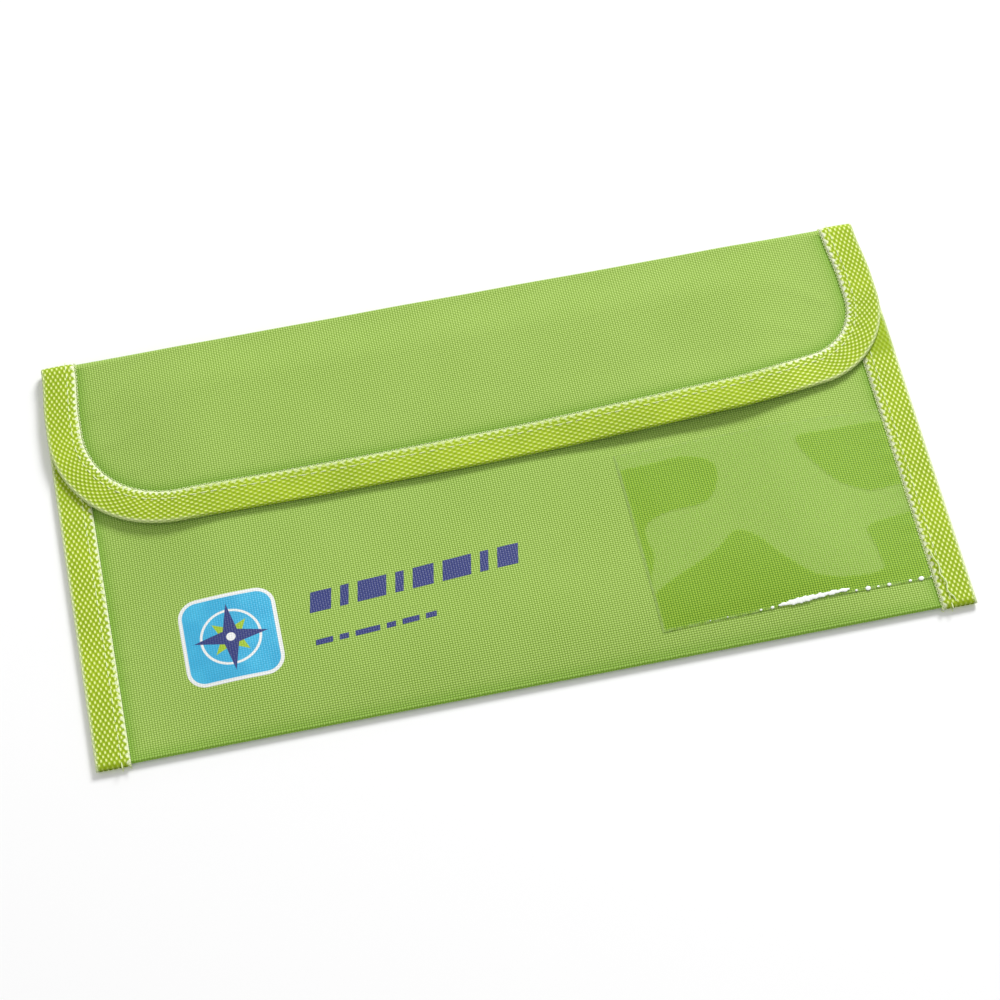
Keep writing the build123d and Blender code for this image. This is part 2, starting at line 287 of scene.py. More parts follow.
def ring_faces(count, n):
    """Faces of a tube of count rings of n points, and its two end caps."""
    faces = []
    for i in range(count - 1):
        for k in range(n):
            a, b = i * n + k, i * n + (k + 1) % n
            faces.append((a, b, b + n, a + n))
    last = (count - 1) * n
    return faces, tuple(range(n)), tuple(range(last, last + n))


def grid_normals(grid):
    """Unit normals of a grid of places, from its neighbours."""
    across = np.gradient(grid, axis=1)
    along = np.gradient(grid, axis=0)
    normal = np.cross(across, along)
    size = np.linalg.norm(normal, axis=2, keepdims=True)
    return normal / np.maximum(size, 1e-9)


def cloth_sheet(name, grid, grain, thick, material):
    """Closed sheet of cloth with grid as its middle. grain holds its places in the weave."""
    rows, cols = grid.shape[:2]
    normal = grid_normals(grid)
    upper = (grid + normal * thick / 2).reshape(-1, 3)
    lower = (grid - normal * thick / 2).reshape(-1, 3)
    verts = np.concatenate([upper, lower])
    flat = grain.reshape(-1, 2)
    shift = rows * cols
    faces = []
    for r in range(rows - 1):
        for c in range(cols - 1):
            a = r * cols + c
            faces.append((a, a + 1, a + cols + 1, a + cols))
            faces.append((a + shift + cols, a + shift + cols + 1, a + shift + 1, a + shift))
    rim = list(range(cols))
    rim += [r * cols + cols - 1 for r in range(1, rows)]
    rim += [(rows - 1) * cols + c for c in range(cols - 2, -1, -1)]
    rim += [r * cols for r in range(rows - 2, 0, -1)]
    for k, a in enumerate(rim):
        b = rim[(k + 1) % len(rim)]
        faces.append((b, a, a + shift, b + shift))
    uvs = [flat[v % shift] for face in faces for v in face]
    return add_mesh(name, verts, faces, material, uvs)


def tape_section(half_core, leaf):
    """Ring round a folded tape: place across the leaf, side of the cloth, height, grain."""
    over = half_core + TAPE
    ring = []
    for t in np.linspace(0, 1, 15):
        w = leaf * (1 - t)
        swell = TAPE * (0.55 + 0.45 * ease(t / 0.10))
        swell += 0.10 * math.sin(math.pi * t) ** 0.8
        ring.append((w, half_core + swell, w + 1.3))
    for t in np.linspace(0, math.pi, 11)[1:-1]:
        ring.append((-TAPE * 1.05 * math.sin(t), over * math.cos(t), 1.3 - 2.6 * t / math.pi))
    for t in np.linspace(1, 0, 15):
        w = leaf * (1 - t)
        swell = TAPE * (0.55 + 0.45 * ease(t / 0.10))
        ring.append((w, -(half_core + swell), -(w + 1.3)))
    inner = max(half_core - 0.03, 0.02)
    ring.append((leaf, -inner, -(leaf + 1.3)))
    ring.append((0.25, -inner, -1.3))
    ring.append((0.25, inner, 1.3))
    ring.append((leaf, inner, leaf + 1.3))
    return np.array(ring)


def tape_round(
    name, place, stations, along, half_cores, leaf, material, crimp=None, looks=None, raw_end=False
):
    """Tape folded over a cloth edge. place(station, across) gives the cloth's middle.
    looks(i) gives how pale its inner and outer edges are, and how plain it is."""
    wide = np.linspace(0, leaf, 12)
    middle = np.array([[place(s, w) for w in wide] for s in stations])
    normal = grid_normals(middle)
    if normal[len(stations) // 2, 6, 2] < 0:
        normal = -normal
    inward = middle[:, 1] - middle[:, 0]
    inward /= np.linalg.norm(inward, axis=1, keepdims=True)
    verts, grain = [], []
    ends = np.ones(len(stations))
    if raw_end:
        ends = 0.45 + 0.55 * ease((np.array(along) - along[0]) / 1.1) ** 0.5
    for i in range(len(stations)):
        ring = tape_section(half_cores[i], leaf)
        for w, h, v in ring:
            k = min(max(w, 0) / leaf * 11, 10.999)
            j, f = int(k), k - int(k)
            base = middle[i, j] * (1 - f) + middle[i, j + 1] * f
            up = normal[i, j] * (1 - f) + normal[i, j + 1] * f
            up /= np.linalg.norm(up)
            lift = 0.0 if crimp is None else crimp(i, max(w, 0)) * (1 if h > 0 else -1)
            h *= ends[i]
            verts.append(base + inward[i] * min(w, 0) + up * (h + lift))
            grain.append((along[i], v))
    n = len(ring)
    faces, first, last = ring_faces(len(stations), n)
    faces += [first[::-1], last]
    uvs = [grain[v] for face in faces for v in face]
    obj = add_mesh(name, np.array(verts), faces, material, uvs)
    given = [(0.6, 0.2, 0.0) if looks is None else looks(i) for i in range(len(stations))]
    pale_inner, pale_outer, plain = (np.repeat(part, n) for part in np.array(given).T)
    mark(obj, "pale_inner", pale_inner)
    mark(obj, "pale_outer", pale_outer)
    # the plain stretches are on the upper leaf only
    mark(obj, "plain", plain * np.tile(ring[:, 1] > 0, len(stations)))
    return obj


# ----------------------------------------------------------------------- shader groups
class Wiring:
    """Short ways to add nodes to one tree."""

    def __init__(self, tree):
        self.tree = tree

    def put(self, socket, value):
        if isinstance(value, bpy.types.NodeSocket):
            self.tree.links.new(value, socket)
        elif value is not None:
            socket.default_value = value

    def add(self, kind, feeds=None, **settings):
        """New node with its settings, its inputs fed by values or by other nodes."""
        node = self.tree.nodes.new(kind)
        for label, value in settings.items():
            setattr(node, label, value)
        for label, value in (feeds or {}).items():
            self.put(node.inputs[label], value)
        return node

    def math(self, kind, *feeds):
        return self.add("ShaderNodeMath", dict(enumerate(feeds)), operation=kind).outputs[0]

    def times(self, a, b):
        return self.math("MULTIPLY", a, b)

    def times_plus(self, a, b, c):
        return self.math("MULTIPLY_ADD", a, b, c)

    def plus(self, a, b):
        return self.math("ADD", a, b)

    def minus(self, a, b):
        return self.math("SUBTRACT", a, b)

    def divided(self, a, b):
        return self.math("DIVIDE", a, b)

    def length(self, a, b):
        return self.math("SQRT", self.plus(self.times(a, a), self.times(b, b)))

    def span(self, value, low, high, out_low=0.0, out_high=1.0):
        """Smooth step of a value from low to high."""
        labels = ("Value", "From Min", "From Max", "To Min", "To Max")
        feeds = dict(zip(labels, (value, low, high, out_low, out_high)))
        node = self.add("ShaderNodeMapRange", feeds, interpolation_type="SMOOTHSTEP")
        return node.outputs["Result"]

    def noise(self, vector, scale, detail=2.0, rough=0.5):
        feeds = {"Vector": vector, "Scale": scale, "Detail": detail, "Roughness": rough}
        return self.add("ShaderNodeTexNoise", feeds).outputs["Fac"]

    def mix(self, share, a, b):
        feeds = {"Factor": share, 6: a, 7: b}
        return self.add("ShaderNodeMix", feeds, data_type="RGBA").outputs[2]

    def split(self, vector):
        return self.add("ShaderNodeSeparateXYZ", {0: vector}).outputs

    def join(self, x=0.0, y=0.0, z=0.0):
        return self.add("ShaderNodeCombineXYZ", {0: x, 1: y, 2: z}).outputs[0]

    def group(self, group, **values):
        feeds = {label.replace("_", " "): value for label, value in values.items()}
        return self.add("ShaderNodeGroup", feeds, node_tree=group).outputs

    def attribute(self, name):
        return self.add("ShaderNodeAttribute", attribute_name=name).outputs["Fac"]

    def grain(self):
        """A piece's own places along and across its weave, in millimetres."""
        return self.add("ShaderNodeUVMap", uv_map="grain").outputs["UV"]

    def place(self):
        """Object coordinates in millimetres."""
        spot = self.add("ShaderNodeTexCoord").outputs["Object"]
        feeds = {"Vector": spot, "Scale": (1000, 1000, 1000)}
        return self.add("ShaderNodeMapping", feeds).outputs[0]


def new_tree(kind, name, inputs, outputs):
    """Node tree with named inputs, each a starting value or a socket's kind, and outputs."""
    tree = bpy.data.node_groups.new(name, kind)
    for label, value in inputs.items():
        sort = {float: "Float", int: "Int"}.get(type(value), value)
        socket = tree.interface.new_socket(
            name=label, in_out="INPUT", socket_type=f"NodeSocket{sort}"
        )
        if sort != value:
            socket.default_value = value
    for label, sort in outputs.items():
        tree.interface.new_socket(name=label, in_out="OUTPUT", socket_type=f"NodeSocket{sort}")
    given = tree.nodes.new("NodeGroupInput").outputs
    return tree, Wiring(tree), given, tree.nodes.new("NodeGroupOutput").inputs


def make_plain_weave():
    """Over and under of a plain weave. Grain is in millimetres."""
    group, w, given, out = new_tree(
        "ShaderNodeTree",
        "plain_weave",
        {"Grain": "Vector", "Pitch across": 0.66, "Pitch along": 0.59, "Waver": 0.12},
        {"Height": "Float", "Hole": "Float"},
    )
    u, v, _ = w.split(given["Grain"])
    sway = w.minus(w.noise(given["Grain"], 0.35, 2.0), 0.5)
    sway = w.times(sway, given["Waver"])
    p = w.divided(w.times_plus(sway, 1.6, u), given["Pitch across"])
    q = w.divided(w.times_plus(sway, 1.2, v), given["Pitch along"])
    wave_p = w.math("SINE", w.times(p, math.pi))
    wave_q = w.math("SINE", w.times(q, math.pi))
    # each yarn is a rounded rib between two gaps
    rib_p = w.math("ABSOLUTE", wave_p)
    rib_q = w.math("ABSOLUTE", wave_q)
    # which of the two yarns is on top changes from cell to cell
    on_top = w.span(w.times(wave_p, wave_q), -0.25, 0.25)
    # a cell is long the way of the yarn that is on top
    warp = w.times(w.math("POWER", rib_p, 0.95), w.math("POWER", rib_q, 0.30))
    weft = w.times(w.math("POWER", rib_q, 0.95), w.math("POWER", rib_p, 0.30))
    mound = w.times_plus(w.minus(warp, weft), on_top, weft)
    w.put(out["Height"], w.times_plus(mound, 1.12, w.times(on_top, 0.12)))
    w.put(out["Hole"], w.times(w.span(rib_p, 0.62, 0.12), w.span(rib_q, 0.62, 0.12)))
    return group


def make_lattice():
    """Diagonal lattice of raised floats on a ribbed tape. Grain is in millimetres."""
    group, w, given, out = new_tree(
        "ShaderNodeTree",
        "tape_lattice",
        {"Grain": "Vector", "Pitch along": 2.2, "Pitch across": 1.29},
        {"Height": "Float", "Float": "Float"},
    )
    u, v, _ = w.split(given["Grain"])
    sway = w.minus(w.noise(given["Grain"], 0.5, 1.0), 0.5)
    along = w.divided(w.times_plus(sway, 0.25, u), given["Pitch along"])
    across = w.divided(v, given["Pitch across"])
    a = w.math("COSINE", w.times(along, TURN))
    b = w.math("COSINE", w.times(across, TURN))
    spot = w.times_plus(w.times(a, b), 0.5, 0.5)
    w.put(out["Float"], w.span(spot, 0.58, 0.86))
    w.put(out["Height"], spot)
    return group


def make_uneven_tone():
    """Soft unevenness of tone over a whole piece."""
    group, w, given, out = new_tree(
        "ShaderNodeTree",
        "uneven_tone",
        {"Grain": "Vector", "Size": 30.0},
        {"Tone": "Float", "Fuzz": "Float"},
    )
    scale = w.divided(1.0, given["Size"])
    w.put(out["Tone"], w.noise(given["Grain"], scale, 3.0, 0.55))
    w.put(out["Fuzz"], w.noise(given["Grain"], 2.2, 3.0, 0.7))
    return group


weave_group = make_plain_weave()
lattice_group = make_lattice()
tone_group = make_uneven_tone()


def new_material(name, rough, sheen=0.0, coat=0.0, specular=0.5):
    material = bpy.data.materials.new(name)
    material.use_nodes = True
    tree = material.node_tree
    shader = tree.nodes["Principled BSDF"]
    shader.inputs["Roughness"].default_value = rough
    shader.inputs["Sheen Weight"].default_value = sheen
    shader.inputs["Sheen Roughness"].default_value = 0.5
    shader.inputs["Coat Weight"].default_value = coat
    shader.inputs["Specular IOR Level"].default_value = specular
    return material, Wiring(tree), shader


def paint(w, shader, colour, rough=None, height=None, depth=0.0, alpha=None):
    """Feeds a surface's colour and, where they vary, its roughness, relief and alpha."""
    w.put(shader.inputs["Base Color"], colour)
    w.put(shader.inputs["Roughness"], rough)
    w.put(shader.inputs["Alpha"], alpha)
    if height is not None:
        feeds = {"Strength": 1.0, "Distance": depth * MM, "Height": height}
        w.put(shader.inputs["Normal"], w.add("ShaderNodeBump", feeds).outputs["Normal"])


def cloth_material(name, deep, mid, light, pitch, depth, rough, sheen):
    """Plain-woven cloth with dark gaps, light yarn tops and slight fading."""
    material, w, shader = new_material(name, rough, sheen, 0.0, 0.22)
    grain = w.grain()
    weave = w.group(weave_group, Grain=grain, Pitch_across=pitch[0], Pitch_along=pitch[1])
    tone = w.group(tone_group, Grain=grain, Size=34.0)
    top = w.times_plus(w.minus(tone["Fuzz"], 0.5), 0.5, weave["Height"])
    share = w.span(top, 0.35, 1.25)
    colour = w.mix(share, mid, light)
    colour = w.mix(w.times(weave["Hole"], 0.85), colour, deep)
    fade = w.span(tone["Tone"], 0.3, 0.7)
    paler = w.mix(0.10, colour, light)
    colour = w.mix(fade, colour, paler)
    shade = w.times(w.attribute("seam_shade"), 0.72)
    colour = w.mix(shade, colour, (0.15, 0.37, 0.008, 1))
    rough = w.span(weave["Height"], 0, 1.2, rough + 0.1, rough - 0.06)
    paint(w, shader, colour, rough, weave["Height"], depth)
    return material


def tape_material(name, leaf):
    """Ribbed lime tape with pale floats, whitish and fuzzy at its edges. The pale floats and edges
    are partly the tape's own yarn and fuzz, and partly painted highlight.
    """
    material, w, shader = new_material(name, 0.62, 0.03, 0.0, 0.25)
    grain = w.grain()
    u, v, _ = w.split(grain)
    across = w.math("ABSOLUTE", v)
    lattice = w.group(lattice_group, Grain=grain)
    tone = w.group(tone_group, Grain=grain, Size=18.0)
    speck = w.noise(grain, 3.4, 2.0, 0.6)
    ground = w.mix(w.span(tone["Tone"], 0.3, 0.7), (0.30, 0.44, 0.003, 1), (0.38, 0.53, 0.005, 1))
    groove = w.mix(0.35, ground, (0.16, 0.27, 0.002, 1))
    ground = w.mix(w.span(lattice["Height"], 0.10, 0.45), groove, ground)
    # partly painted highlight: the raised floats are real, and their pale colour also stands for
    # the shine on their yarn
    pale = (0.86, 0.95, 0.36, 1)
    share = w.times(lattice["Float"], w.span(speck, 0.25, 0.6, 0.55, 1.0))
    share = w.times(share, w.minus(1.0, w.attribute("plain")))
    colour = w.mix(share, ground, pale)
    # pale blocks and lime blocks take turns along the inner edge
    blocks = w.math("SINE", w.times(u, TURN / 2.05))
    fuzzy = w.times_plus(w.minus(speck, 0.5), 1.3, across)
    toothed = w.times_plus(blocks, 0.45, fuzzy)
    selvage = w.span(toothed, leaf + 0.35, leaf + 0.95)
    selvage = w.times(selvage, w.span(speck, 0.32, 0.52, 0.35, 1.0))
    outer = w.span(w.times_plus(w.minus(speck, 0.5), 2.2, across), 1.9, 1.2)
    # the whitish selvage and outer edge are partly fuzz and partly painted highlight
    white = (0.90, 0.95, 0.70, 1)
    colour = w.mix(w.times(selvage, w.attribute("pale_inner")), colour, white)
    colour = w.mix(w.times(outer, w.attribute("pale_outer")), colour, white)
    rough = w.span(lattice["Height"], 0, 1, 0.8, 0.55)
    paint(w, shader, colour, rough, w.times_plus(speck, 0.5, lattice["Height"]), 0.15)
    return material


def thread_material(name, dark, light):
    """Twisted sewing thread."""
    material, w, shader = new_material(name, 0.5, 0.3)
    place = w.place()
    x, y, _ = w.split(place)
    twist = w.math("SINE", w.times(w.plus(x, y), 14.0))
    fuzz = w.noise(place, 3.0, 2.0)
    share = w.times_plus(twist, 0.25, fuzz)
    colour = w.mix(w.span(share, 0.2, 0.8), dark, light)
    paint(w, shader, colour, w.span(fuzz, 0.3, 0.7, 0.42, 0.6), share, 0.05)
    return material


def mottled(name, finish, grain, dark, light, depth):
    """Two tones in cloudy spots. grain is the noise's scale, detail and roughness."""
    material, w, shader = new_material(name, *finish)
    tone = w.noise(w.place(), *grain)
    paint(w, shader, w.mix(w.span(tone, 0.3, 0.7), dark, light), None, tone, depth)
    return material


outer_cloth = cloth_material(
    "outer_cloth",
    (0.11, 0.23, 0.010, 1),
    (0.26, 0.45, 0.045, 1),
    (0.50, 0.69, 0.18, 1),
    (0.66, 0.59),
    0.14,
    0.68,
    0.06,
)
lining_cloth = cloth_material(
    "lining_cloth",
    (0.10, 0.18, 0.02, 1),
    (0.22, 0.38, 0.06, 1),
    (0.34, 0.52, 0.13, 1),
    (0.42, 0.36),
    0.05,
    0.5,
    0.2,
)
edge_tape = tape_material("edge_tape", TAPE_LEAF)
mouth_tape_stuff = tape_material("mouth_tape", MOUTH_LEAF)
seam_thread = thread_material("seam_thread", (0.62, 0.76, 0.24, 1), (0.88, 0.95, 0.62, 1))
pale_loop = thread_material("selvage_loops", (0.50, 0.66, 0.12, 1), (0.86, 0.92, 0.58, 1))
lining_thread = thread_material("lining_thread", (0.22, 0.38, 0.08, 1), (0.45, 0.60, 0.22, 1))

# ------------------------------------------------------------------------ outer cloth
columns = np.concatenate(
    [
        np.linspace(-CLOTH_X, -SEAM_X + 1, 6, endpoint=False),
        np.linspace(-SEAM_X + 1, -66, 26, endpoint=False),
        np.linspace(-66, 66, 50, endpoint=False),
        np.linspace(66, SEAM_X - 1, 26, endpoint=False),
        np.linspace(SEAM_X - 1, CLOTH_X, 7),
    ]
)


def narrow(y):
    """The cloth narrows slightly towards the top fold."""
    return 1 - (CLOTH_X - FLAP_X) / CLOTH_X * ease((y - NARROW_Y) / 12.0)


def add_row(grid, grain, x, y, z, far):
    """Adds one row of a sheet, and its places in the weave."""
    grid.append(np.stack(np.broadcast_arrays(x, y, z), 1))
    grain.append(np.stack(np.broadcast_arrays(x, -far), 1))


def pouch_rows():
    """Front from the mouth down, the bottom fold, the back, and half the top fold."""
    grid, grain = [], []
    far = 0.0
    x = columns
    front_y = np.concatenate(
        [np.linspace(MOUTH_Y, -30, 56, endpoint=False), np.linspace(-30, FOLD_Y, 40)]
    )
    last = front_y[0]
    for y in front_y:
        far += abs(last - y)
        last = y
        add_row(grid, grain, x, y, front_rise(x, y), far)
    centre = (SEAM_MID + BACK_MID) / 2
    radius = (SEAM_MID - BACK_MID) / 2
    for t in np.linspace(0, math.pi, 8)[1:-1]:
        far += radius * math.pi / 7
        y = FOLD_Y - 0.18 - (radius - 0.1) * math.sin(t)
        add_row(grid, grain, x, y, centre + radius * math.cos(t), far)
    last = FOLD_Y
    for y in np.linspace(FOLD_Y, HINGE_Y, 50):
        far += abs(last - y)
        last = y
        sag = 0.28 * ease((99 - np.abs(x)) / 14) * ease((y + 58) / 12) * ease((54 - y) / 12)
        add_row(grid, grain, x * narrow(y), y, BACK_MID - sag, far)
    wide = x * narrow(HINGE_Y)
    for turn in np.linspace(0, math.pi / 2, 10)[1:]:
        far += 0.35
        y, z = fold_point(wide, turn)
        add_row(grid, grain, wide, y, z, far)
    return np.array(grid), np.array(grain), far


grid, grain, pouch_length = pouch_rows()
pouch_cloth = cloth_sheet("pouch_cloth", grid, grain, CLOTH, outer_cloth)


def pouch_shade(co):
    """Darkening of the cloth where it goes under a tape, and along the bottom fold."""
    beside = np.exp(-(np.clip(SEAM_X - np.abs(co[:, 0]), 0, 99) / 2.0) ** 1.6)
    foot = 0.55 * np.exp(-(np.clip(co[:, 1] - FOLD_Y, 0, 99) / 2.2) ** 2)
    return np.clip(np.maximum(beside, foot) * (co[:, 1] < MOUTH_Y), 0, 1)


mark(pouch_cloth, "seam_shade", pouch_shade(places_of(pouch_cloth)))


def flap_grid():
    """Half the top fold, then the flap down to its cut edge."""
    edge_part = 34.0  # finer columns this close to the sides
    corner = 1 - np.cos(np.linspace(0, 1, 40) * math.pi / 2)
    x_left = -FLAP_X + corner * edge_part
    x_mid = np.linspace(-FLAP_X + edge_part, FLAP_X - edge_part, 60)[1:-1]
    x = np.concatenate([x_left, x_mid, -x_left[::-1]])
    scaled = FLAP_EDGE * np.array([FLAP_X / FLAP_TAPE_X, 1])
    low = np.interp(x, scaled[:, 0], scaled[:, 1]) + FLAP_TAPE_OUT
    low[0] = low[1] + 1.0
    low[-1] = low[-2] + 1.0
    grid, grain = [], []
    far = -3.2
    for turn in np.linspace(math.pi / 2, math.pi, 10)[:-1]:
        y, z = fold_point(x, turn)
        add_row(grid, grain, x, y, z, far)
        far += 0.36
    for t in np.linspace(0, 1, 70):
        y = HINGE_Y + (low - HINGE_Y) * t
        z = flap_rise(x, y) - seam_dip(edge_distance(x, y) - TAPE_LEAF)
        add_row(grid, grain, x, y, z, HINGE_Y - y)
    return np.array(grid), np.array(grain)


grid, grain = flap_grid()
flap_cloth = cloth_sheet("flap_cloth", grid, grain, CLOTH, outer_cloth)


def flap_shade(co):
    """Darkening of the flap's cloth where it goes under its tape."""
    gap = edge_distance(co[:, 0], co[:, 1]) - TAPE_LEAF
    return np.exp(-(np.clip(gap, 0, 99) / 2.4) ** 1.6) * (co[:, 1] < HINGE_Y)


mark(flap_cloth, "seam_shade", flap_shade(places_of(flap_cloth)))


# -------------------------------------------------------------------------- edge tapes
def side_place(side):
    """Middle of the layers inside a side tape, up the seam and round half the top fold."""

    def place(station, across):
        kind, value = station
        if kind == "seam":
            edge = CLOTH_X - (CLOTH_X - FLAP_X) * ease((value - NARROW_Y) / 12.0)
            z = 0.94 - 0.34 * ease((value - NARROW_Y) / 7.0)
            return (side * (edge - across), value, z)
        x = side * (FLAP_X - across)
        y, z = fold_point(np.array([x]), value)
        return (x, y[0], z[0])

    return place


FOLD_STEP = 0.45  # length of tape between two stations on the top fold
FOLD_LENGTH = 3.2  # length of tape round half the top fold
seam_y = np.concatenate(
    [np.linspace(TAPE_END_Y, -59.2, 8)[:-1], np.linspace(-59.2, HINGE_Y, 146)]
)
fold_turns = np.linspace(0, math.pi / 2, 8)[1:]
side_stations = [("seam", y) for y in seam_y] + [("fold", t) for t in fold_turns]
side_along = list(seam_y - TAPE_END_Y)
side_along += [117.9 + FOLD_STEP * (k + 1) for k in range(len(fold_turns))]
side_cores = [0.5 - 0.3 * float(ease((y - NARROW_Y) / 7.0)) for y in seam_y]
side_cores += [CORE] * len(fold_turns)

tapes = {}


def side_looks(side):
    """Looks of a side tape: whitish edges, a plain stretch, and a worn lower end."""

    def looks(i):
        y = seam_y[min(i, len(seam_y) - 1)]
        plain = ease((y - 15.0) / 4.0) * ease((31.0 - y) / 4.0) * (0.9 if side > 0 else 0.3)
        end = 1 - ease((y - TAPE_END_Y) / 2.0)
        return (0.75, 0.58 - 0.3 * plain, max(plain, 0.8 * end))

    return looks


for side, label in ((-1, "left"), (1, "right")):
    tapes[label] = tape_round(
        f"{label}_side_tape",
        side_place(side),
        side_stations,
        side_along,
        side_cores,
        TAPE_LEAF,
        edge_tape,
        looks=side_looks(side),
        raw_end=True,
    )

# the flap's tape starts at the middle of the top fold, and ends there
edge_step = np.gradient(FLAP_EDGE, axis=0)
edge_step /= np.linalg.norm(edge_step, axis=1, keepdims=True)
edge_inward = np.stack([-edge_step[:, 1], edge_step[:, 0]], 1)
edge_heading = np.unwrap(np.arctan2(edge_step[:, 1], edge_step[:, 0]))
edge_turning = np.abs(np.gradient(edge_heading, FLAP_ALONG))
edge_turning = np.convolve(edge_turning, np.ones(9) / 9, "same")


def flap_place(station, across):
    kind, value = station
    if kind == "edge":
        e, n = FLAP_EDGE[value], edge_inward[value]
        x, y = e + n * (across + FLAP_TAPE_OUT)
        return (x, y, float(flap_rise(x, y)))
    side, turn = value
    x = side * (FLAP_X - across)
    y, z = fold_point(np.array([x]), turn)
    return (x, y[0], z[0])


up_turns = np.linspace(math.pi / 2, math.pi, 8)[:-1]
flap_stations = [("fold", (-1, t)) for t in up_turns]
flap_stations += [("edge", k) for k in range(len(FLAP_EDGE))]
flap_stations += [("fold", (1, t)) for t in up_turns[::-1]]
flap_along = [FOLD_STEP * k for k in range(len(up_turns))]
flap_along += list(FLAP_ALONG + FOLD_LENGTH)
flap_along += [FLAP_ALONG[-1] + FOLD_LENGTH + FOLD_STEP * (k + 1) for k in range(len(up_turns))]


def corner_crimp(i, across):
    """Small gathers at the inner edge where the tape goes round a corner."""
    k = i - len(up_turns)
    if not 0 <= k < len(FLAP_EDGE):
        return 0.0
    bend = min(edge_turning[k] / 0.045, 1.0)
    return 0.16 * bend * (across / TAPE_LEAF) ** 1.5 * math.sin(TURN * FLAP_ALONG[k] / 4.6)


def flap_looks(i):
    """Looks of the flap's tape: paler round the corners, plainer along the middle."""
    k = min(max(i - len(up_turns), 0), len(FLAP_EDGE) - 1)
    x, y = FLAP_EDGE[k]
    right = ease((x - 76.0) / 18.0)
    left = ease((-70.0 - x) / 22.0)
    middle = (1 - ease((x - 68.0) / 20.0)) * (1 - ease((-66.0 - x) / 20.0))
    inner = 0.45 + 0.5 * right + 0.4 * left
    return (inner, 0.3 * right + 0.35 * left, 0.10 + 0.32 * middle)


tapes["flap"] = tape_round(
    "flap_tape",
    flap_place,
    flap_stations,
    flap_along,
    [CORE] * len(flap_stations),
    TAPE_LEAF,
    edge_tape,
    corner_crimp,
    flap_looks,
)

mouth_x = np.linspace(-103.4, 103.4, 200)


def mouth_place(station, across):
    return (station, MOUTH_Y - across, float(front_rise(np.array(station), MOUTH_Y - across)))


tapes["mouth"] = tape_round(
    "mouth_tape",
    mouth_place,
    list(mouth_x),
    list(mouth_x),
    [CORE] * len(mouth_x),
    MOUTH_LEAF,
    mouth_tape_stuff,
)


# ------------------------------------------------------------------ inside the pouch
def lining_sheet(name, x_low, x_high, y_low, y_high, z):
    """Flat sheet inside the pouch, with a slight wave."""
    x = np.linspace(x_low, x_high, 60)
    y = np.linspace(y_low, y_high, 50)
    grid_x, grid_y = np.meshgrid(x, y)
    wave = 0.03 * np.sin(grid_x / 9.0 + grid_y / 17.0)
    grid = np.stack([grid_x, grid_y, z + wave], 2)
    return cloth_sheet(name, grid, grid[:, :, :2], LINING, lining_cloth)


divider_sheet = lining_sheet("divider_sheet", -103.8, 103.8, -59.0, DIVIDER_Y, 0.93)
passport_sheet = lining_sheet("passport_pocket_sheet", *PASSPORT_POCKET, 1.17)
card_sheet = lining_sheet("card_pocket_sheet", *CARD_POCKET, 1.17)

# ------------------------------------------------------------------- clear window film
LIGHT_PATCH = [
    (29, -5.6), (30.9, -5.4), (40.1, -5.2), (47.8, -4.3), (52.6, -5.3), (56.5, -7.7),
    (57.2, -11.1), (54.8, -17.1), (51.0, -19.9), (44.1, -19.9), (39.7, -20.4), (35.5, -22.3),
    (34.6, -25.0), (35.1, -29.4), (35.4, -32.3), (34.0, -36.0), (32.9, -39.5), (32.9, -43.0),
    (34.8, -41.3), (41.7, -37.9), (47.2, -35.6), (52.9, -32.5), (57.0, -28.4), (62.0, -31.0),
    (66.0, -36.8), (71.3, -42.9), (74.8, -45.9), (82.3, -47.8), (92.3, -47.5), (92.0, -43.9),
    (91.1, -38.0), (90.2, -33.5), (99.1, -31.9), (106, -31.5), (106, -23.0), (101.5, -23.1),
    (95.0, -23.9), (90.5, -22.0), (86.7, -19.8), (83.0, -14.6), (79.9, -9.5), (78.2, -3.9),
    (87.8, -3.8), (97.5, -2.9), (102.2, -3.2), (106, -3.0), (106, 2), (29, 2),
]


def rounded(outline, passes=2):
    """Outline with its corners cut and cut again."""
    points = np.array(outline, float)
    for _ in range(passes):
        following = np.roll(points, -1, axis=0)
        near, far = 0.75 * points + 0.25 * following, 0.25 * points + 0.75 * following
        points = np.stack([near, far], 1).reshape(-1, 2)
    return points


def depth_inside(x, y, outline):
    """Distance inside a closed outline, negative outside."""
    place = np.stack([np.ravel(x), np.ravel(y)], 1)
    away = np.full(len(place), 1e9)
    odd = np.zeros(len(place), bool)
    for p, q in zip(outline, np.roll(outline, -1, axis=0)):
        d = q - p
        t = np.clip(((place - p) @ d) / max(d @ d, 1e-12), 0, 1)
        away = np.minimum(away, np.linalg.norm(place - p - t[:, None] * d, axis=1))
        cross = (p[1] > place[:, 1]) != (q[1] > place[:, 1])
        with np.errstate(divide="ignore", invalid="ignore"):
            at = p[0] + (place[:, 1] - p[1]) / (q[1] - p[1]) * d[0]
        odd ^= cross & (place[:, 0] < at)
    return np.where(odd, away, -away).reshape(np.shape(x))


def film_lift(a, b):
    """How far the film stands off the cloth: it clings at its edges."""
    inside = np.minimum(np.minimum(a, 1 - a), np.minimum(b, 1 - b))
    wave = 0.02 * np.sin(a * 11 + b * 9) * ease(inside / 0.05)
    return 0.07 + 0.15 * ease(inside / 0.10) + wave


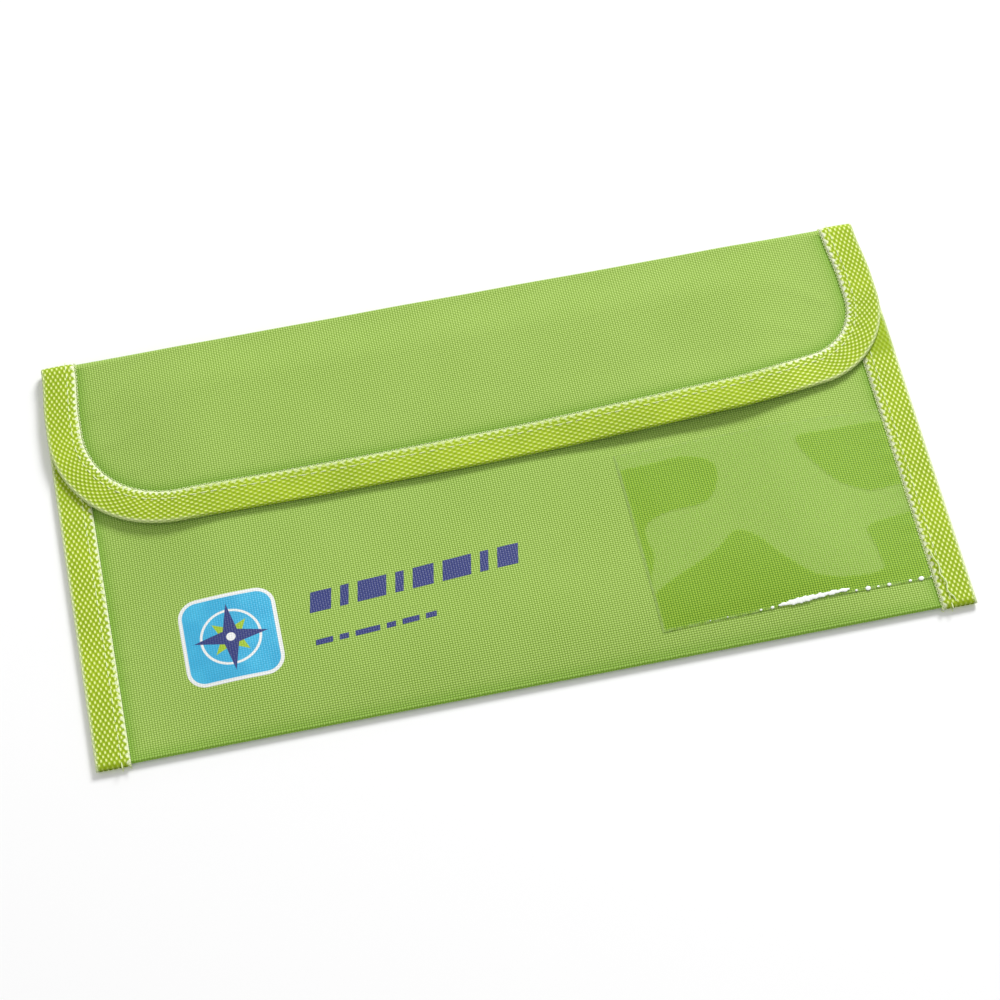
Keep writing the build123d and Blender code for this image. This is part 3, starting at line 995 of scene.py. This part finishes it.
def make_clear_film():
    """Glossy film that shows the cloth darker where it clings to it, and lighter elsewhere with a
    painted reflection.
    """
    material, w, shader = new_material("clear_film", 0.3, 0.0, 0.0, 0.16)
    shader.inputs["IOR"].default_value = 1.48
    grain = w.grain()
    weave = w.group(weave_group, Grain=grain, **CLOTH_PITCH)
    tone = w.group(tone_group, Grain=grain, Size=9.0)
    cling, rim = w.attribute("cling"), w.attribute("rim")
    over = w.span(weave["Height"], 0.30, 1.05)
    wet = w.mix(over, (0.13, 0.33, 0.008, 1), (0.50, 0.76, 0.085, 1))
    # partly painted reflection: the dry tone is the cloth through the film, made lighter to stand
    # for the light reflected in the air gap
    dry_with_reflection = w.mix(over, (0.31, 0.55, 0.042, 1), (0.64, 0.87, 0.24, 1))
    colour = w.mix(rim, w.mix(cling, dry_with_reflection, wet), (0.66, 0.82, 0.36, 1))
    alpha = w.math("MAXIMUM", w.span(cling, 0.0, 1.0, 0.30, 0.62), w.times(rim, 0.7))
    rough = w.span(tone["Fuzz"], 0.3, 0.7, 0.36, 0.50)
    paint(w, shader, colour, rough, weave["Height"], 0.05, alpha)
    return material


# top left, top right, bottom left, bottom right
FILM_CORNERS = ((31.5, -0.9), (111.9, 0.8), (32.6, -53.4), (111.9, -51.5))


def film_place(a, b):
    """Place on the film: a from left to right, b from top to bottom, both 0 to 1."""
    tl, tr, bl, br = (np.array(c) for c in FILM_CORNERS)
    a, b = np.asarray(a)[..., None], np.asarray(b)[..., None]
    return (tl * (1 - a) + tr * a) * (1 - b) + (bl * (1 - a) + br * a) * b


share_a, share_b = np.meshgrid(np.linspace(0, 1, 200), np.linspace(0, 1, 130))
film_xy = film_place(share_a, share_b)
gx, gy = film_xy[..., 0], film_xy[..., 1]
film_top = front_rise(gx, gy) + CLOTH / 2 + film_lift(share_a, share_b)
film_grid = np.stack([gx, gy, film_top], 2)
film_places = film_grid[:, :, :2] - np.array([0.0, MOUTH_Y])
film = cloth_sheet("window_film_sheet", film_grid, film_places, 0.12, make_clear_film())
co = places_of(film)
film_a, film_b = np.tile(share_a.ravel(), 2), np.tile(share_b.ravel(), 2)
light = depth_inside(co[:, 0], co[:, 1], rounded(LIGHT_PATCH))
ragged = 0.12 * np.sin(co[:, 0] * 5.1) + 0.12 * np.sin(co[:, 1] * 6.3 + co[:, 0] * 2.0)
wetness = ease((-(light + ragged) + 0.25) / 0.5)
wetness *= ease((film_a - 0.004) / 0.008)
rim = np.exp(-((film_b / 0.007) ** 2)) * 0.55
rim += np.exp(-(((1 - film_b) / 0.009) ** 2)) * 0.5
rim *= 0.6 + 0.4 * np.sin(co[:, 0] * 1.9 + np.sin(co[:, 0] * 0.7))
rim += 0.5 * np.exp(-((film_a / 0.004) ** 2))
mark(film, "cling", wetness)
mark(film, "rim", np.clip(rim, 0, 1))


def make_weld():
    """Cloudy weld that holds the film along its left and lower edges."""
    material, w, shader = new_material("film_weld", 0.3, 0.0, 0.3)
    tone = w.noise(w.place(), 1.1, 3.0, 0.7)
    colour = w.mix(w.span(tone, 0.4, 0.62), (0.40, 0.64, 0.10, 1), (0.56, 0.77, 0.24, 1))
    paint(w, shader, colour, None, tone, 0.08, w.span(tone, 0.45, 0.7, 0.04, 0.22))
    return material


def over_front(x, y):
    """Height of the top of the front's cloth."""
    return float(front_rise(np.array(x), y)) + CLOTH / 2


def ribbon(name, path, width, height, material, lift=0.0):
    """Low rounded ribbon lying on the front along a path of x and y."""
    path, _ = spaced(np.array(path, float), 0.6)
    step = np.gradient(path, axis=0)
    step /= np.maximum(np.linalg.norm(step, axis=1, keepdims=True), 1e-9)
    out = np.stack([-step[:, 1], step[:, 0]], 1)
    verts = []
    ring = [(-0.5, 0), (-0.35, 0.7), (0, 1), (0.35, 0.7), (0.5, 0)]
    for p, o in zip(path, out):
        for a, h in ring:
            x, y = p + o * a * width
            verts.append((x, y, over_front(x, y) + lift + h * height))
    faces, first, last = ring_faces(len(path), len(ring))
    return add_mesh(name, verts, faces + [first, last], material)


weld = ribbon(
    "film_weld_line",
    [tuple(film_place(a, b)) for a, b in ((0.005, 0.02), (0.005, 0.99), (0.9, 0.99))],
    0.6,
    0.08,
    make_weld(),
    0.14,
)

# painted highlights: near-white glossy beads along the weld stand for glints, and one long
# drawn-out run of them
glint_material = mottled(
    "weld_glints",
    (0.12, 0.0, 0.6, 0.6),
    (1.8, 2.0),
    (0.88, 0.93, 0.86, 1),
    (0.97, 0.99, 0.96, 1),
    0.05,
)
GLINTS = [
    (58.2, 0.30), (61.2, 0.40), (83.2, 0.30), (86.3, 0.62), (89.0, 0.28),
    (91.9, 0.46), (97.5, 0.36), (100.4, 0.62), (49.5, 0.18), (103.0, 0.2), (45.0, 0.15),
]
GLINT_RUN = [
    0.42, 0.62, 0.48, 0.66, 0.92, 1.06, 0.98, 1.10, 1.14, 1.04, 1.12, 1.06, 0.96, 0.90,
    0.80, 0.72, 0.92, 0.80, 0.62, 0.56, 0.70, 0.92, 0.70, 0.52, 0.50, 0.66, 0.62, 0.40,
]


def weld_y(x):
    """Where the weld's lower line runs."""
    (left, left_y), (right, right_y) = FILM_CORNERS[2:]
    share = (x - left) / (right - left)
    return left_y * (1 - share) + right_y * share + 0.45


# painted highlight: each blob is a white glint on the weld, the run one long scalloped glint
GLINT_BLOBS = [(x, weld_y(x), size * 1.2, size) for x, size in GLINTS]
for k, size in enumerate(GLINT_RUN):
    share = k / (len(GLINT_RUN) - 1)
    x = 63.4 + 17.6 * share
    GLINT_BLOBS.append((x, weld_y(x) + 0.15 + 0.55 * share + 0.1 * math.sin(2.1 * k), 0.7, size * 0.8))
glint_work = bmesh.new()
for x, y, wide, tall in GLINT_BLOBS:
    z = over_front(x, y) + 0.24
    shape = Matrix.Translation(Vector((x, y, z)) * MM)
    shape = shape @ Matrix.Diagonal((wide * MM, tall * MM, 0.16 * MM, 1))
    bmesh.ops.create_uvsphere(glint_work, u_segments=10, v_segments=7, radius=1, matrix=shape)
glint_mesh = bpy.data.meshes.new("weld_glints")
glint_work.to_mesh(glint_mesh)
glint_work.free()
glint_mesh.materials.append(glint_material)
smoothed(glint_mesh)
weld_glints = placed("weld_glints", glint_mesh)

# -------------------------------------------------------------- printed badge and lines
def square_depth(w, a, b, half, corner):
    """Distance inside a rounded square."""
    over_a = w.math("MAXIMUM", w.minus(w.math("ABSOLUTE", a), half - corner), 0.0)
    over_b = w.math("MAXIMUM", w.minus(w.math("ABSOLUTE", b), half - corner), 0.0)
    return w.minus(corner, w.length(over_a, over_b))


def star(w, distance, angle, points, turn, reach, waist):
    """1 inside a star with straight-sided points."""
    sector = TURN / points
    local = w.math("PINGPONG", w.plus(angle, turn), sector / 2)
    # the edge of a point is the straight line from its tip to the waist
    lean_x = reach - waist * math.cos(sector / 2)
    lean_y = waist * math.sin(sector / 2)
    size = math.hypot(lean_x, lean_y)
    px = w.times(distance, w.math("COSINE", local))
    py = w.times(distance, w.math("SINE", local))
    edge = w.plus(w.times(w.minus(px, reach), lean_y / size), w.times(py, lean_x / size))
    return w.span(edge, 0.08, -0.08)


def make_print_ink():
    """Blue badge with a compass star and a white rim, and plain navy outside it."""
    material, w, shader = new_material("print_ink", 0.45)
    place = w.place()
    x, y, _ = w.split(place)
    a, b = w.minus(x, BADGE_X), w.minus(y, BADGE_Y)
    weave = w.group(weave_group, Grain=w.join(x, w.minus(y, MOUTH_Y)), **CLOTH_PITCH)
    radius, angle = w.length(a, b), w.math("ARCTAN2", b, a)
    depth = square_depth(w, a, b, BADGE_HALF, BADGE_CORNER)
    navy, lime, white = (0.018, 0.03, 0.19, 1), (0.36, 0.55, 0.015, 1), (0.86, 0.88, 0.86, 1)
    cloudy = w.span(w.noise(place, 0.12, 2.0), 0.35, 0.65)
    colour = w.mix(cloudy, (0.03, 0.42, 0.70, 1), (0.05, 0.50, 0.78, 1))
    ring_line = w.times(w.span(radius, 7.15, 7.3), w.span(radius, 7.95, 7.8))
    colour = w.mix(ring_line, colour, white)
    colour = w.mix(star(w, radius, angle, 4, math.pi / 4, 6.2, 2.4), colour, lime)
    colour = w.mix(star(w, radius, angle, 4, 0.0, 9.6, 2.6), colour, navy)
    colour = w.mix(w.span(radius, 1.25, 1.1), colour, white)
    colour = w.mix(w.span(depth, 1.05, 0.9), colour, white)
    colour = w.mix(w.span(depth, -0.6, -0.4), navy, colour)
    colour = w.mix(w.times(weave["Hole"], 0.35), colour, (0.10, 0.2, 0.03, 1))
    paint(w, shader, colour, None, weave["Height"], 0.07)
    return material


ink = make_print_ink()


def skin(name, outline, cuts, height, thick, material):
    """Thin closed skin inside a convex outline, cut into a net so that it follows height."""
    work = bmesh.new()
    work.faces.new([work.verts.new((x, y, 0)) for x, y in outline])
    for normal, places in zip(((1, 0, 0), (0, 1, 0)), cuts):
        for cut in places:
            spot = (cut * normal[0], cut * normal[1], 0)
            geom = work.verts[:] + work.edges[:] + work.faces[:]
            bmesh.ops.bisect_plane(work, geom=geom, plane_co=spot, plane_no=normal)
    grown = bmesh.ops.extrude_face_region(work, geom=work.faces[:])
    top = {v for v in grown["geom"] if isinstance(v, bmesh.types.BMVert)}
    for v in work.verts:
        v.co.z = height(v.co.x, v.co.y) + (thick if v in top else 0)
    bmesh.ops.scale(work, vec=(MM, MM, MM), verts=work.verts[:])
    bmesh.ops.recalc_face_normals(work, faces=work.faces[:])
    mesh = bpy.data.meshes.new(name)
    work.to_mesh(mesh)
    work.free()
    mesh.materials.append(material)
    return placed(name, mesh)


def decal(name, outline):
    """Ink on the front. It goes a little into the cloth, so that no gap shows."""
    step, sunk, lift = 1.5, 0.02, 0.035
    cuts = [
        np.arange(math.ceil(min(along) / step) * step, max(along), step) for along in zip(*outline)
    ]
    return skin(name, outline, cuts, lambda x, y: over_front(x, y) - sunk, lift + sunk, ink)


def rounded_box(cx, cy, half_x, half_y, corner, steps=7):
    points = []
    for k, (sx, sy) in enumerate(((1, 1), (-1, 1), (-1, -1), (1, -1))):
        for t in np.linspace(0, math.pi / 2, steps):
            a = k * math.pi / 2 + t
            x = cx + sx * (half_x - corner) + corner * math.cos(a)
            points.append((x, cy + sy * (half_y - corner) + corner * math.sin(a)))
    return points


badge_box = rounded_box(BADGE_X, BADGE_Y, BADGE_HALF, BADGE_HALF, BADGE_CORNER)
badge = decal("badge_ink", badge_box)
LINE_LEAN = math.radians(3.4)


def dash(cx, cy, half_long, half_tall, slant):
    """Slanted bar on a sloping line."""
    corners = [
        (-half_long - slant, -half_tall),
        (half_long - slant, -half_tall),
        (half_long + slant, half_tall),
        (-half_long + slant, half_tall),
    ]
    c, s = math.cos(LINE_LEAN), math.sin(LINE_LEAN)
    return [(cx + x * c - y * s, cy + x * s + y * c) for x, y in corners]


# name, start, lengths, gap between dashes, lead, trim of each end, half height, slant
LINES = (
    ("line", (-54.0, -27.0), (6.5, 3.2, 8.5, 3.2, 6.5, 8.5, 3.2, 6.5), 1.35, 0.6, 0.5, 2.9, 0.7),
    ("thin", (-54.0, -38.5), (5.0, 3.0, 7.0, 3.0, 5.0, 3.4), 1.1, 0.4, 0.3, 0.75, 0.15),
)
dashes = []
for label, (x, y), lengths, gap, lead, trim, half_tall, slant in LINES:
    reach = 0.0
    for k, long in enumerate(lengths):
        along = reach + long / 2 + lead
        cx, cy = x + along * math.cos(LINE_LEAN), y + along * math.sin(LINE_LEAN)
        dashes.append(decal(f"{label}_dash_{k}", dash(cx, cy, long / 2 - trim, half_tall, slant)))
        reach += long + gap


# ----------------------------------------------------------------- geometry node trees
def grow(name, tree, line_points, values):
    """Runs a node tree over a line or points and returns its result as a plain mesh."""
    mesh = bpy.data.meshes.new(name + "_line")
    edges = [(k, k + 1) for k in range(len(line_points) - 1)]
    mesh.from_pydata([tuple(np.array(p) * MM) for p in line_points], edges, [])
    host = placed(name + "_host", mesh)
    modifier = host.modifiers.new("made", "NODES")
    modifier.node_group = tree
    sockets = {s.name: s.identifier for s in tree.interface.items_tree if s.in_out == "INPUT"}
    for label, value in values.items():
        modifier[sockets[label]] = value
    graph = bpy.context.evaluated_depsgraph_get()
    done = bpy.data.meshes.new_from_object(host.evaluated_get(graph))
    host.modifiers.remove(modifier)
    bpy.data.objects.remove(host)
    done.name = name
    smoothed(done)
    return placed(name, done)


def row_points(w, given):
    """Points spaced along the given line, and the turn that follows it."""
    curve = w.add("GeometryNodeMeshToCurve", {0: given["Geometry"]})
    feeds = {"Curve": curve.outputs[0], "Length": given["Pitch"]}
    points = w.add("GeometryNodeCurveToPoints", feeds, mode="LENGTH")
    feeds = {"Vector": points.outputs["Tangent"]}
    turn = w.add("FunctionNodeAlignRotationToVector", feeds, axis="X", pivot_axis="Z")
    return points.outputs["Points"], turn.outputs[0]


def chance(w, seed, low, high):
    feeds = {"Seed": seed, 2: low, 3: high}
    return w.add("FunctionNodeRandomValue", feeds, data_type="FLOAT").outputs[1]


def set_on_points(w, given, out, feeds):
    """Puts a piece on every point, makes them real and gives them their material."""
    pieces = w.add("GeometryNodeInstanceOnPoints", feeds)
    real = w.add("GeometryNodeRealizeInstances", {0: pieces.outputs[0]})
    feeds = {"Geometry": real.outputs[0], "Material": given["Material"]}
    w.put(out[0], w.add("GeometryNodeSetMaterial", feeds).outputs[0])


def make_stitch_row():
    """Row of short rounded stitches along a line, slightly uneven in size."""
    tree, w, given, out = new_tree(
        "GeometryNodeTree",
        "stitch_row",
        {
            "Geometry": "Geometry",
            "Pitch": 2.6 * MM,
            "Length": 2.1 * MM,
            "Thickness": 0.42 * MM,
            "Unevenness": 0.10,
            "Seed": 7,
            "Material": "Material",
        },
        {"Geometry": "Geometry"},
    )
    points, turn = row_points(w, given)
    ball = w.add("GeometryNodeMeshUVSphere", {"Segments": 8, "Rings": 6, "Radius": 0.5})
    shape = w.join(given["Length"], given["Thickness"], given["Thickness"])
    share = chance(w, given["Seed"], w.minus(1.0, given["Unevenness"]), 1.0)
    size = w.add("ShaderNodeVectorMath", {0: shape, "Scale": share}, operation="SCALE")
    feeds = {
        "Points": points,
        "Instance": ball.outputs["Mesh"],
        "Rotation": turn,
        "Scale": size.outputs[0],
    }
    set_on_points(w, given, out, feeds)
    return tree


def make_arch_row():
    """Row of small arches of thread along a line, for selvages, loops and hooks."""
    tree, w, given, out = new_tree(
        "GeometryNodeTree",
        "arch_row",
        {
            "Geometry": "Geometry",
            "Pitch": 2.1 * MM,
            "Radius": 0.7 * MM,
            "Thread": 0.16 * MM,
            "Tip": 0.0,
            "Scatter": 0.0,
            "Seed": 3,
            "Material": "Material",
        },
        {"Geometry": "Geometry"},
    )
    points, turn = row_points(w, given)
    feeds = {
        "Resolution": 9,
        "Radius": given["Radius"],
        "Start Angle": 0.0,
        "Sweep Angle": math.pi,
    }
    arc = w.add("GeometryNodeCurveArc", feeds)
    feeds = {"Geometry": arc.outputs["Curve"], "Rotation": w.join(given["Tip"])}
    tipped = w.add("GeometryNodeTransform", feeds)
    ring = w.add("GeometryNodeCurvePrimitiveCircle", {"Resolution": 5, "Radius": given["Thread"]})
    feeds = {
        "Curve": tipped.outputs[0],
        "Profile Curve": ring.outputs[0],
        "Fill Caps": True,
    }
    tube = w.add("GeometryNodeCurveToMesh", feeds)
    scatter = given["Scatter"]
    spin = w.join(0.0, 0.0, chance(w, given["Seed"], w.times(scatter, -1.0), scatter))
    twist = w.add("FunctionNodeRotateRotation", {0: turn, 1: spin}, rotation_space="LOCAL")
    feeds = {"Points": points, "Instance": tube.outputs[0], "Rotation": twist.outputs[0]}
    set_on_points(w, given, out, feeds)
    return tree


stitch_row = make_stitch_row()
arch_row = make_arch_row()


def thread_tube(name, path, radius, material):
    """A single thread laid through some points."""
    fine = []
    for k in range(len(path) - 1):
        before, a = np.array(path[max(k - 1, 0)]), np.array(path[k])
        b, after = np.array(path[k + 1]), np.array(path[min(k + 2, len(path) - 1)])
        for t in np.linspace(0, 1, 6, endpoint=False):
            fine.append(
                0.5
                * (
                    2 * a
                    + (b - before) * t
                    + (2 * before - 5 * a + 4 * b - after) * t**2
                    + (3 * a - before - 3 * b + after) * t**3
                )
            )
    fine.append(np.array(path[-1]))
    fine = np.array(fine)
    forward = np.gradient(fine, axis=0)
    forward /= np.linalg.norm(forward, axis=1)[:, None]
    side = np.cross(forward, (0.0, 0.0, 1.0))
    side /= np.linalg.norm(side, axis=1)[:, None]
    up = np.cross(side, forward)
    turns = np.linspace(0, TURN, 7)[:-1]
    verts = [
        middle + radius * (np.cos(t) * across + np.sin(t) * above)
        for middle, across, above in zip(fine, side, up)
        for t in turns
    ]
    faces, first, last = ring_faces(len(fine), len(turns))
    return add_mesh(name, np.array(verts), faces + [first[::-1], last], material)


def tape_line(place, stations, half_cores, across, upper, lift):
    """Line on a tape's surface, at a distance in from the cloth's edge."""
    step = 0.4
    places = (across - step, across, across + step)
    middle = np.array([[place(s, w) for w in places] for s in stations])
    normal = grid_normals(middle)[:, 1]
    if normal[len(stations) // 2, 2] < 0:
        normal = -normal
    sign = 1 if upper else -1
    away = np.array(half_cores)[:, None] + TAPE + lift
    return middle[:, 1] + sign * normal * away


def joined(name, objects, smooth=True):
    """Several plain meshes made into one."""
    stuff = [m for m in objects[0].data.materials if m][-1]
    work = bmesh.new()
    for o in objects:
        work.from_mesh(o.data)
    for face in work.faces:
        face.material_index = 0
    mesh = bpy.data.meshes.new(name)
    work.to_mesh(mesh)
    work.free()
    mesh.materials.clear()
    mesh.materials.append(stuff)
    for o in objects:
        bpy.data.objects.remove(o)
    smoothed(mesh, smooth)
    return placed(name, mesh)


stitch_values = {
    "Pitch": 2.6 * MM,
    "Length": 2.0 * MM,
    "Thickness": 0.36 * MM,
    "Unevenness": 0.12,
    "Seed": 7,
    "Material": seam_thread,
}


def arch_values(pitch, radius, thread, tip, scatter, seed, material):
    return {
        "Pitch": pitch * MM,
        "Radius": radius * MM,
        "Thread": thread * MM,
        "Tip": tip,
        "Scatter": scatter,
        "Seed": seed,
        "Material": material,
    }


selvage_values = arch_values(1.1, 0.40, 0.12, 0.0, 0.25, 3, pale_loop)
threads, loops = {}, {}
tape_parts = {
    "left_side": (side_place(-1), side_stations, side_cores, TAPE_LEAF),
    "right_side": (side_place(1), side_stations, side_cores, TAPE_LEAF),
    "flap": (flap_place, flap_stations, [CORE] * len(flap_stations), TAPE_LEAF),
    "mouth": (mouth_place, list(mouth_x), [CORE] * len(mouth_x), MOUTH_LEAF),
}
for label, (place_fn, stations, cores, leaf) in tape_parts.items():
    rows, curls = [], []
    for upper in (True, False):
        lift = 0.10 if upper else -0.14
        line = tape_line(place_fn, stations, cores, leaf - THREAD_INSET, upper, lift)
        rows.append(grow(f"{label}_row", stitch_row, line, stitch_values))
        line = tape_line(place_fn, stations, cores, leaf - 0.02, upper, -0.24)
        curls.append(grow(f"{label}_curl", arch_row, line, selvage_values))
    threads[label] = joined(f"{label}_stitches", rows)
    loops[label] = joined(f"{label}_selvage", curls)

pocket_values = {
    **stitch_values,
    "Thickness": 0.24 * MM,
    "Length": 1.9 * MM,
    "Material": lining_thread,
}
pocket_rows = []
for left, right, bottom, top in (PASSPORT_POCKET, CARD_POCKET):
    inner_left, inner_right = left + POCKET_SEAM, right - POCKET_SEAM
    low, z = bottom + POCKET_SEAM, 1.3
    line = [(inner_left, top, z), (inner_left, low, z)]
    line += [(inner_right, low, z), (inner_right, top, z)]
    pocket_rows.append(grow(f"pocket_row_{left}", stitch_row, line, pocket_values))
pocket_stitches = joined("pocket_stitches", pocket_rows)

# --------------------------------------------------------------- hook-and-loop patches
def make_hook_tape():
    material, w, shader = new_material("hook_tape", 0.45, 0.1)
    weave = w.group(weave_group, Grain=w.place(), Pitch_across=0.5, Pitch_along=0.5)
    share = w.span(weave["Height"], 0.2, 1.2)
    colour = w.mix(share, (0.12, 0.24, 0.02, 1), (0.36, 0.54, 0.10, 1))
    paint(w, shader, colour, None, weave["Height"], 0.06)
    return material


hook_material = make_hook_tape()
loop_material = mottled(
    "loop_tape",
    (0.8, 0.5),
    (1.4, 4.0, 0.7),
    (0.20, 0.36, 0.05, 1),
    (0.44, 0.62, 0.18, 1),
    0.15,
)
PATCH_THICK = 0.22


def under_flap(x, y):
    """Height of the underside of a patch below the flap's cloth."""
    return float(flap_rise(np.array(x), y)) - CLOTH / 2 - PATCH_THICK


def patch(name, half_x, y_low, y_high, height, material):
    """Stiff woven base of a fastener, shaped to the cloth it is sewn to."""
    outline = rounded_box(0, (y_low + y_high) / 2, half_x, (y_high - y_low) / 2, 1.5)
    cuts = [np.arange(low + 2, high - 1, 2.0) for low, high in ((-half_x, half_x), (y_low, y_high))]
    return skin(name, outline, cuts, height, PATCH_THICK, material)


hook_base = patch("hook_base", 25, PATCH_LOW_Y, PATCH_LOW_Y + 16, under_flap, hook_material)
loop_base = patch("loop_base", 27, PATCH_LOW_Y - 2, PATCH_LOW_Y + 18, over_front, loop_material)


def pile(name, rows, half_x, count, stagger, height, lift, arch, seed, material):
    """Rows of small arches that stand on a patch."""
    made = []
    for row, y in enumerate(rows):
        line = [
            (x, y, height(x, y) + lift)
            for x in np.linspace(-half_x + stagger * (row % 2), half_x, count)
        ]
        values = arch_values(*arch, seed + row, material)
        made.append(grow(f"{name}_{row}", arch_row, line, values))
    return joined(name, made)


loop_rows = np.arange(PATCH_LOW_Y - 1.2, PATCH_LOW_Y + 17.2, 0.95)
loop_arch = (1.15, 0.28, 0.05, math.pi / 2, 1.4)
loop_pile = pile(
    "loop_pile", loop_rows, 26, 60, 0.4, over_front, 0.2, loop_arch, 40, loop_material
)
hook_rows = np.arange(PATCH_LOW_Y + 1.0, PATCH_LOW_Y + 15.4, 1.4)
hook_arch = (1.3, 0.2, 0.07, -math.pi / 2, 0.2)
hook_pile = pile(
    "hook_pile", hook_rows, 24, 50, 0.0, under_flap, 0.02, hook_arch, 80, hook_material
)


def hang(obj, slot, body, *nodes):
    """Attaches a piece to the body it moves with, bakes a piece on a fold in place, and hides the
    parts it stands for. slot is not used.
    """
    if nodes:
        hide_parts(*nodes)
    if body == "lower fold":
        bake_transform(obj)
    elif body == "upper fold":
        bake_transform(obj)
    else:
        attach(obj, body)


hang(pouch_cloth, "outer_cloth", "lower fold", "back_panel", "bottom_fold", "front_panel")
hang(flap_cloth, "outer_cloth", "upper fold", "flap_panel", "top_fold")
for label in ("left", "right"):
    bindings = (f"{label}_side_binding", f"{label}_fold_binding")
    seams = (f"{label}_side_thread", f"{label}_fold_thread")
    hang(tapes[label], "binding_tape", "lower fold", *bindings)
    hang(threads[f"{label}_side"], "thread", "lower fold", *seams)
    hang(loops[f"{label}_side"], "binding_tape", "lower fold")
for label, body in (("flap", "upper fold"), ("mouth", "pouch")):
    hang(tapes[label], "binding_tape", body, f"{label}_binding")
    hang(threads[label], "thread", body, f"{label}_thread")
    hang(loops[label], "binding_tape", body)
hang(divider_sheet, "lining", "pouch", "divider")
hang(passport_sheet, "lining", "pouch", "passport_pocket")
hang(card_sheet, "lining", "pouch", "card_pocket")
hang(pocket_stitches, "lining_thread", "pouch", "pocket_threads")
hang(film, "clear_film", "pouch", "window_film")
LOOSE_PATH = [
    (104.6, -44.0, 2.25), (104.9, -46.6, 2.4), (105.6, -49.0, 2.5), (105.2, -51.5, 2.45),
    (106.2, -54.0, 2.4), (105.8, -56.5, 2.3), (107.0, -58.6, 2.1), (107.2, -60.6, 1.3),
]
hang(thread_tube("loose_thread", LOOSE_PATH, 0.17, seam_thread), "thread", "pouch")
hang(weld, "film_weld", "pouch", "window_weld")
hang(weld_glints, "film_weld", "pouch")
hang(badge, "print_ink", "pouch", "badge_print")
hang(joined("line_marks", dashes, smooth=False), "print_ink", "pouch", "line_print")
hang(hook_base, "hook_fastener", "flap", "hook_patch")
hang(hook_pile, "hook_fastener", "flap")
hang(loop_base, "loop_fastener", "pouch", "loop_patch")
hang(loop_pile, "loop_fastener", "pouch")

# --------------------------------------------------------------------- floor and light
floor_material, w, floor_shader = new_material("floor", 0.9, 0.0, 0.0, 0.1)
floor_tone = w.noise(w.place(), 0.002, 1.0)
paint(w, floor_shader, w.mix(floor_tone, (0.93, 0.93, 0.93, 1), (0.95, 0.95, 0.95, 1)))
FLOOR_HALF, FLOOR_Z = 6, -0.0001  # metres
floor_corners = [
    (x * FLOOR_HALF, y * FLOOR_HALF, FLOOR_Z) for x, y in ((-1, -1), (1, -1), (1, 1), (-1, 1))
]
floor_mesh = bpy.data.meshes.new("floor")
floor_mesh.from_pydata(floor_corners, [], [(0, 1, 2, 3)])
floor_mesh.materials.append(floor_material)
floor = placed("floor", floor_mesh)
floor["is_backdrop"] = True


def soft_light(name, place, width, height, power):
    """Soft rectangular light that looks at the wallet's middle. Sizes in metres."""
    lamp = bpy.data.lights.new(name, "AREA")
    lamp.shape = "RECTANGLE"
    lamp.size, lamp.size_y = width, height
    lamp.energy = power
    obj = placed(name, lamp)
    obj.location = place
    obj.rotation_euler = (-Vector(place)).to_track_quat("-Z", "Y").to_euler()


soft_light("key", (1.02, 1.5, 1.22), 0.8, 0.6, 46.0)
soft_light("fill", (-0.7, -0.9, 1.4), 1.4, 1.2, 3.0)
world = bpy.data.worlds.new("studio")
world.use_nodes = True
sky = world.node_tree.nodes["Background"].inputs
sky["Color"].default_value = (1, 1, 1, 1)
sky["Strength"].default_value = 0.52
bpy.context.scene.world = world
bpy.context.scene.view_settings.view_transform = "Standard"

# ------------------------------------------------------------------------------ camera
lens = bpy.data.cameras.new("camera")
lens.lens = 105.3
lens.sensor_width = 36
lens.clip_start = 0.01
camera = placed("camera", lens)
right = Vector((0.97964, -0.19934, -0.02390))
up = Vector((0.18329, 0.83939, 0.51170))
back = right.cross(up).normalized()
turned = Matrix((right, up, back)).transposed().to_4x4()
camera.matrix_world = Matrix.Translation((-0.06168, -0.38899, 0.65251)) @ turned
bpy.context.scene.camera = camera

low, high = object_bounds()
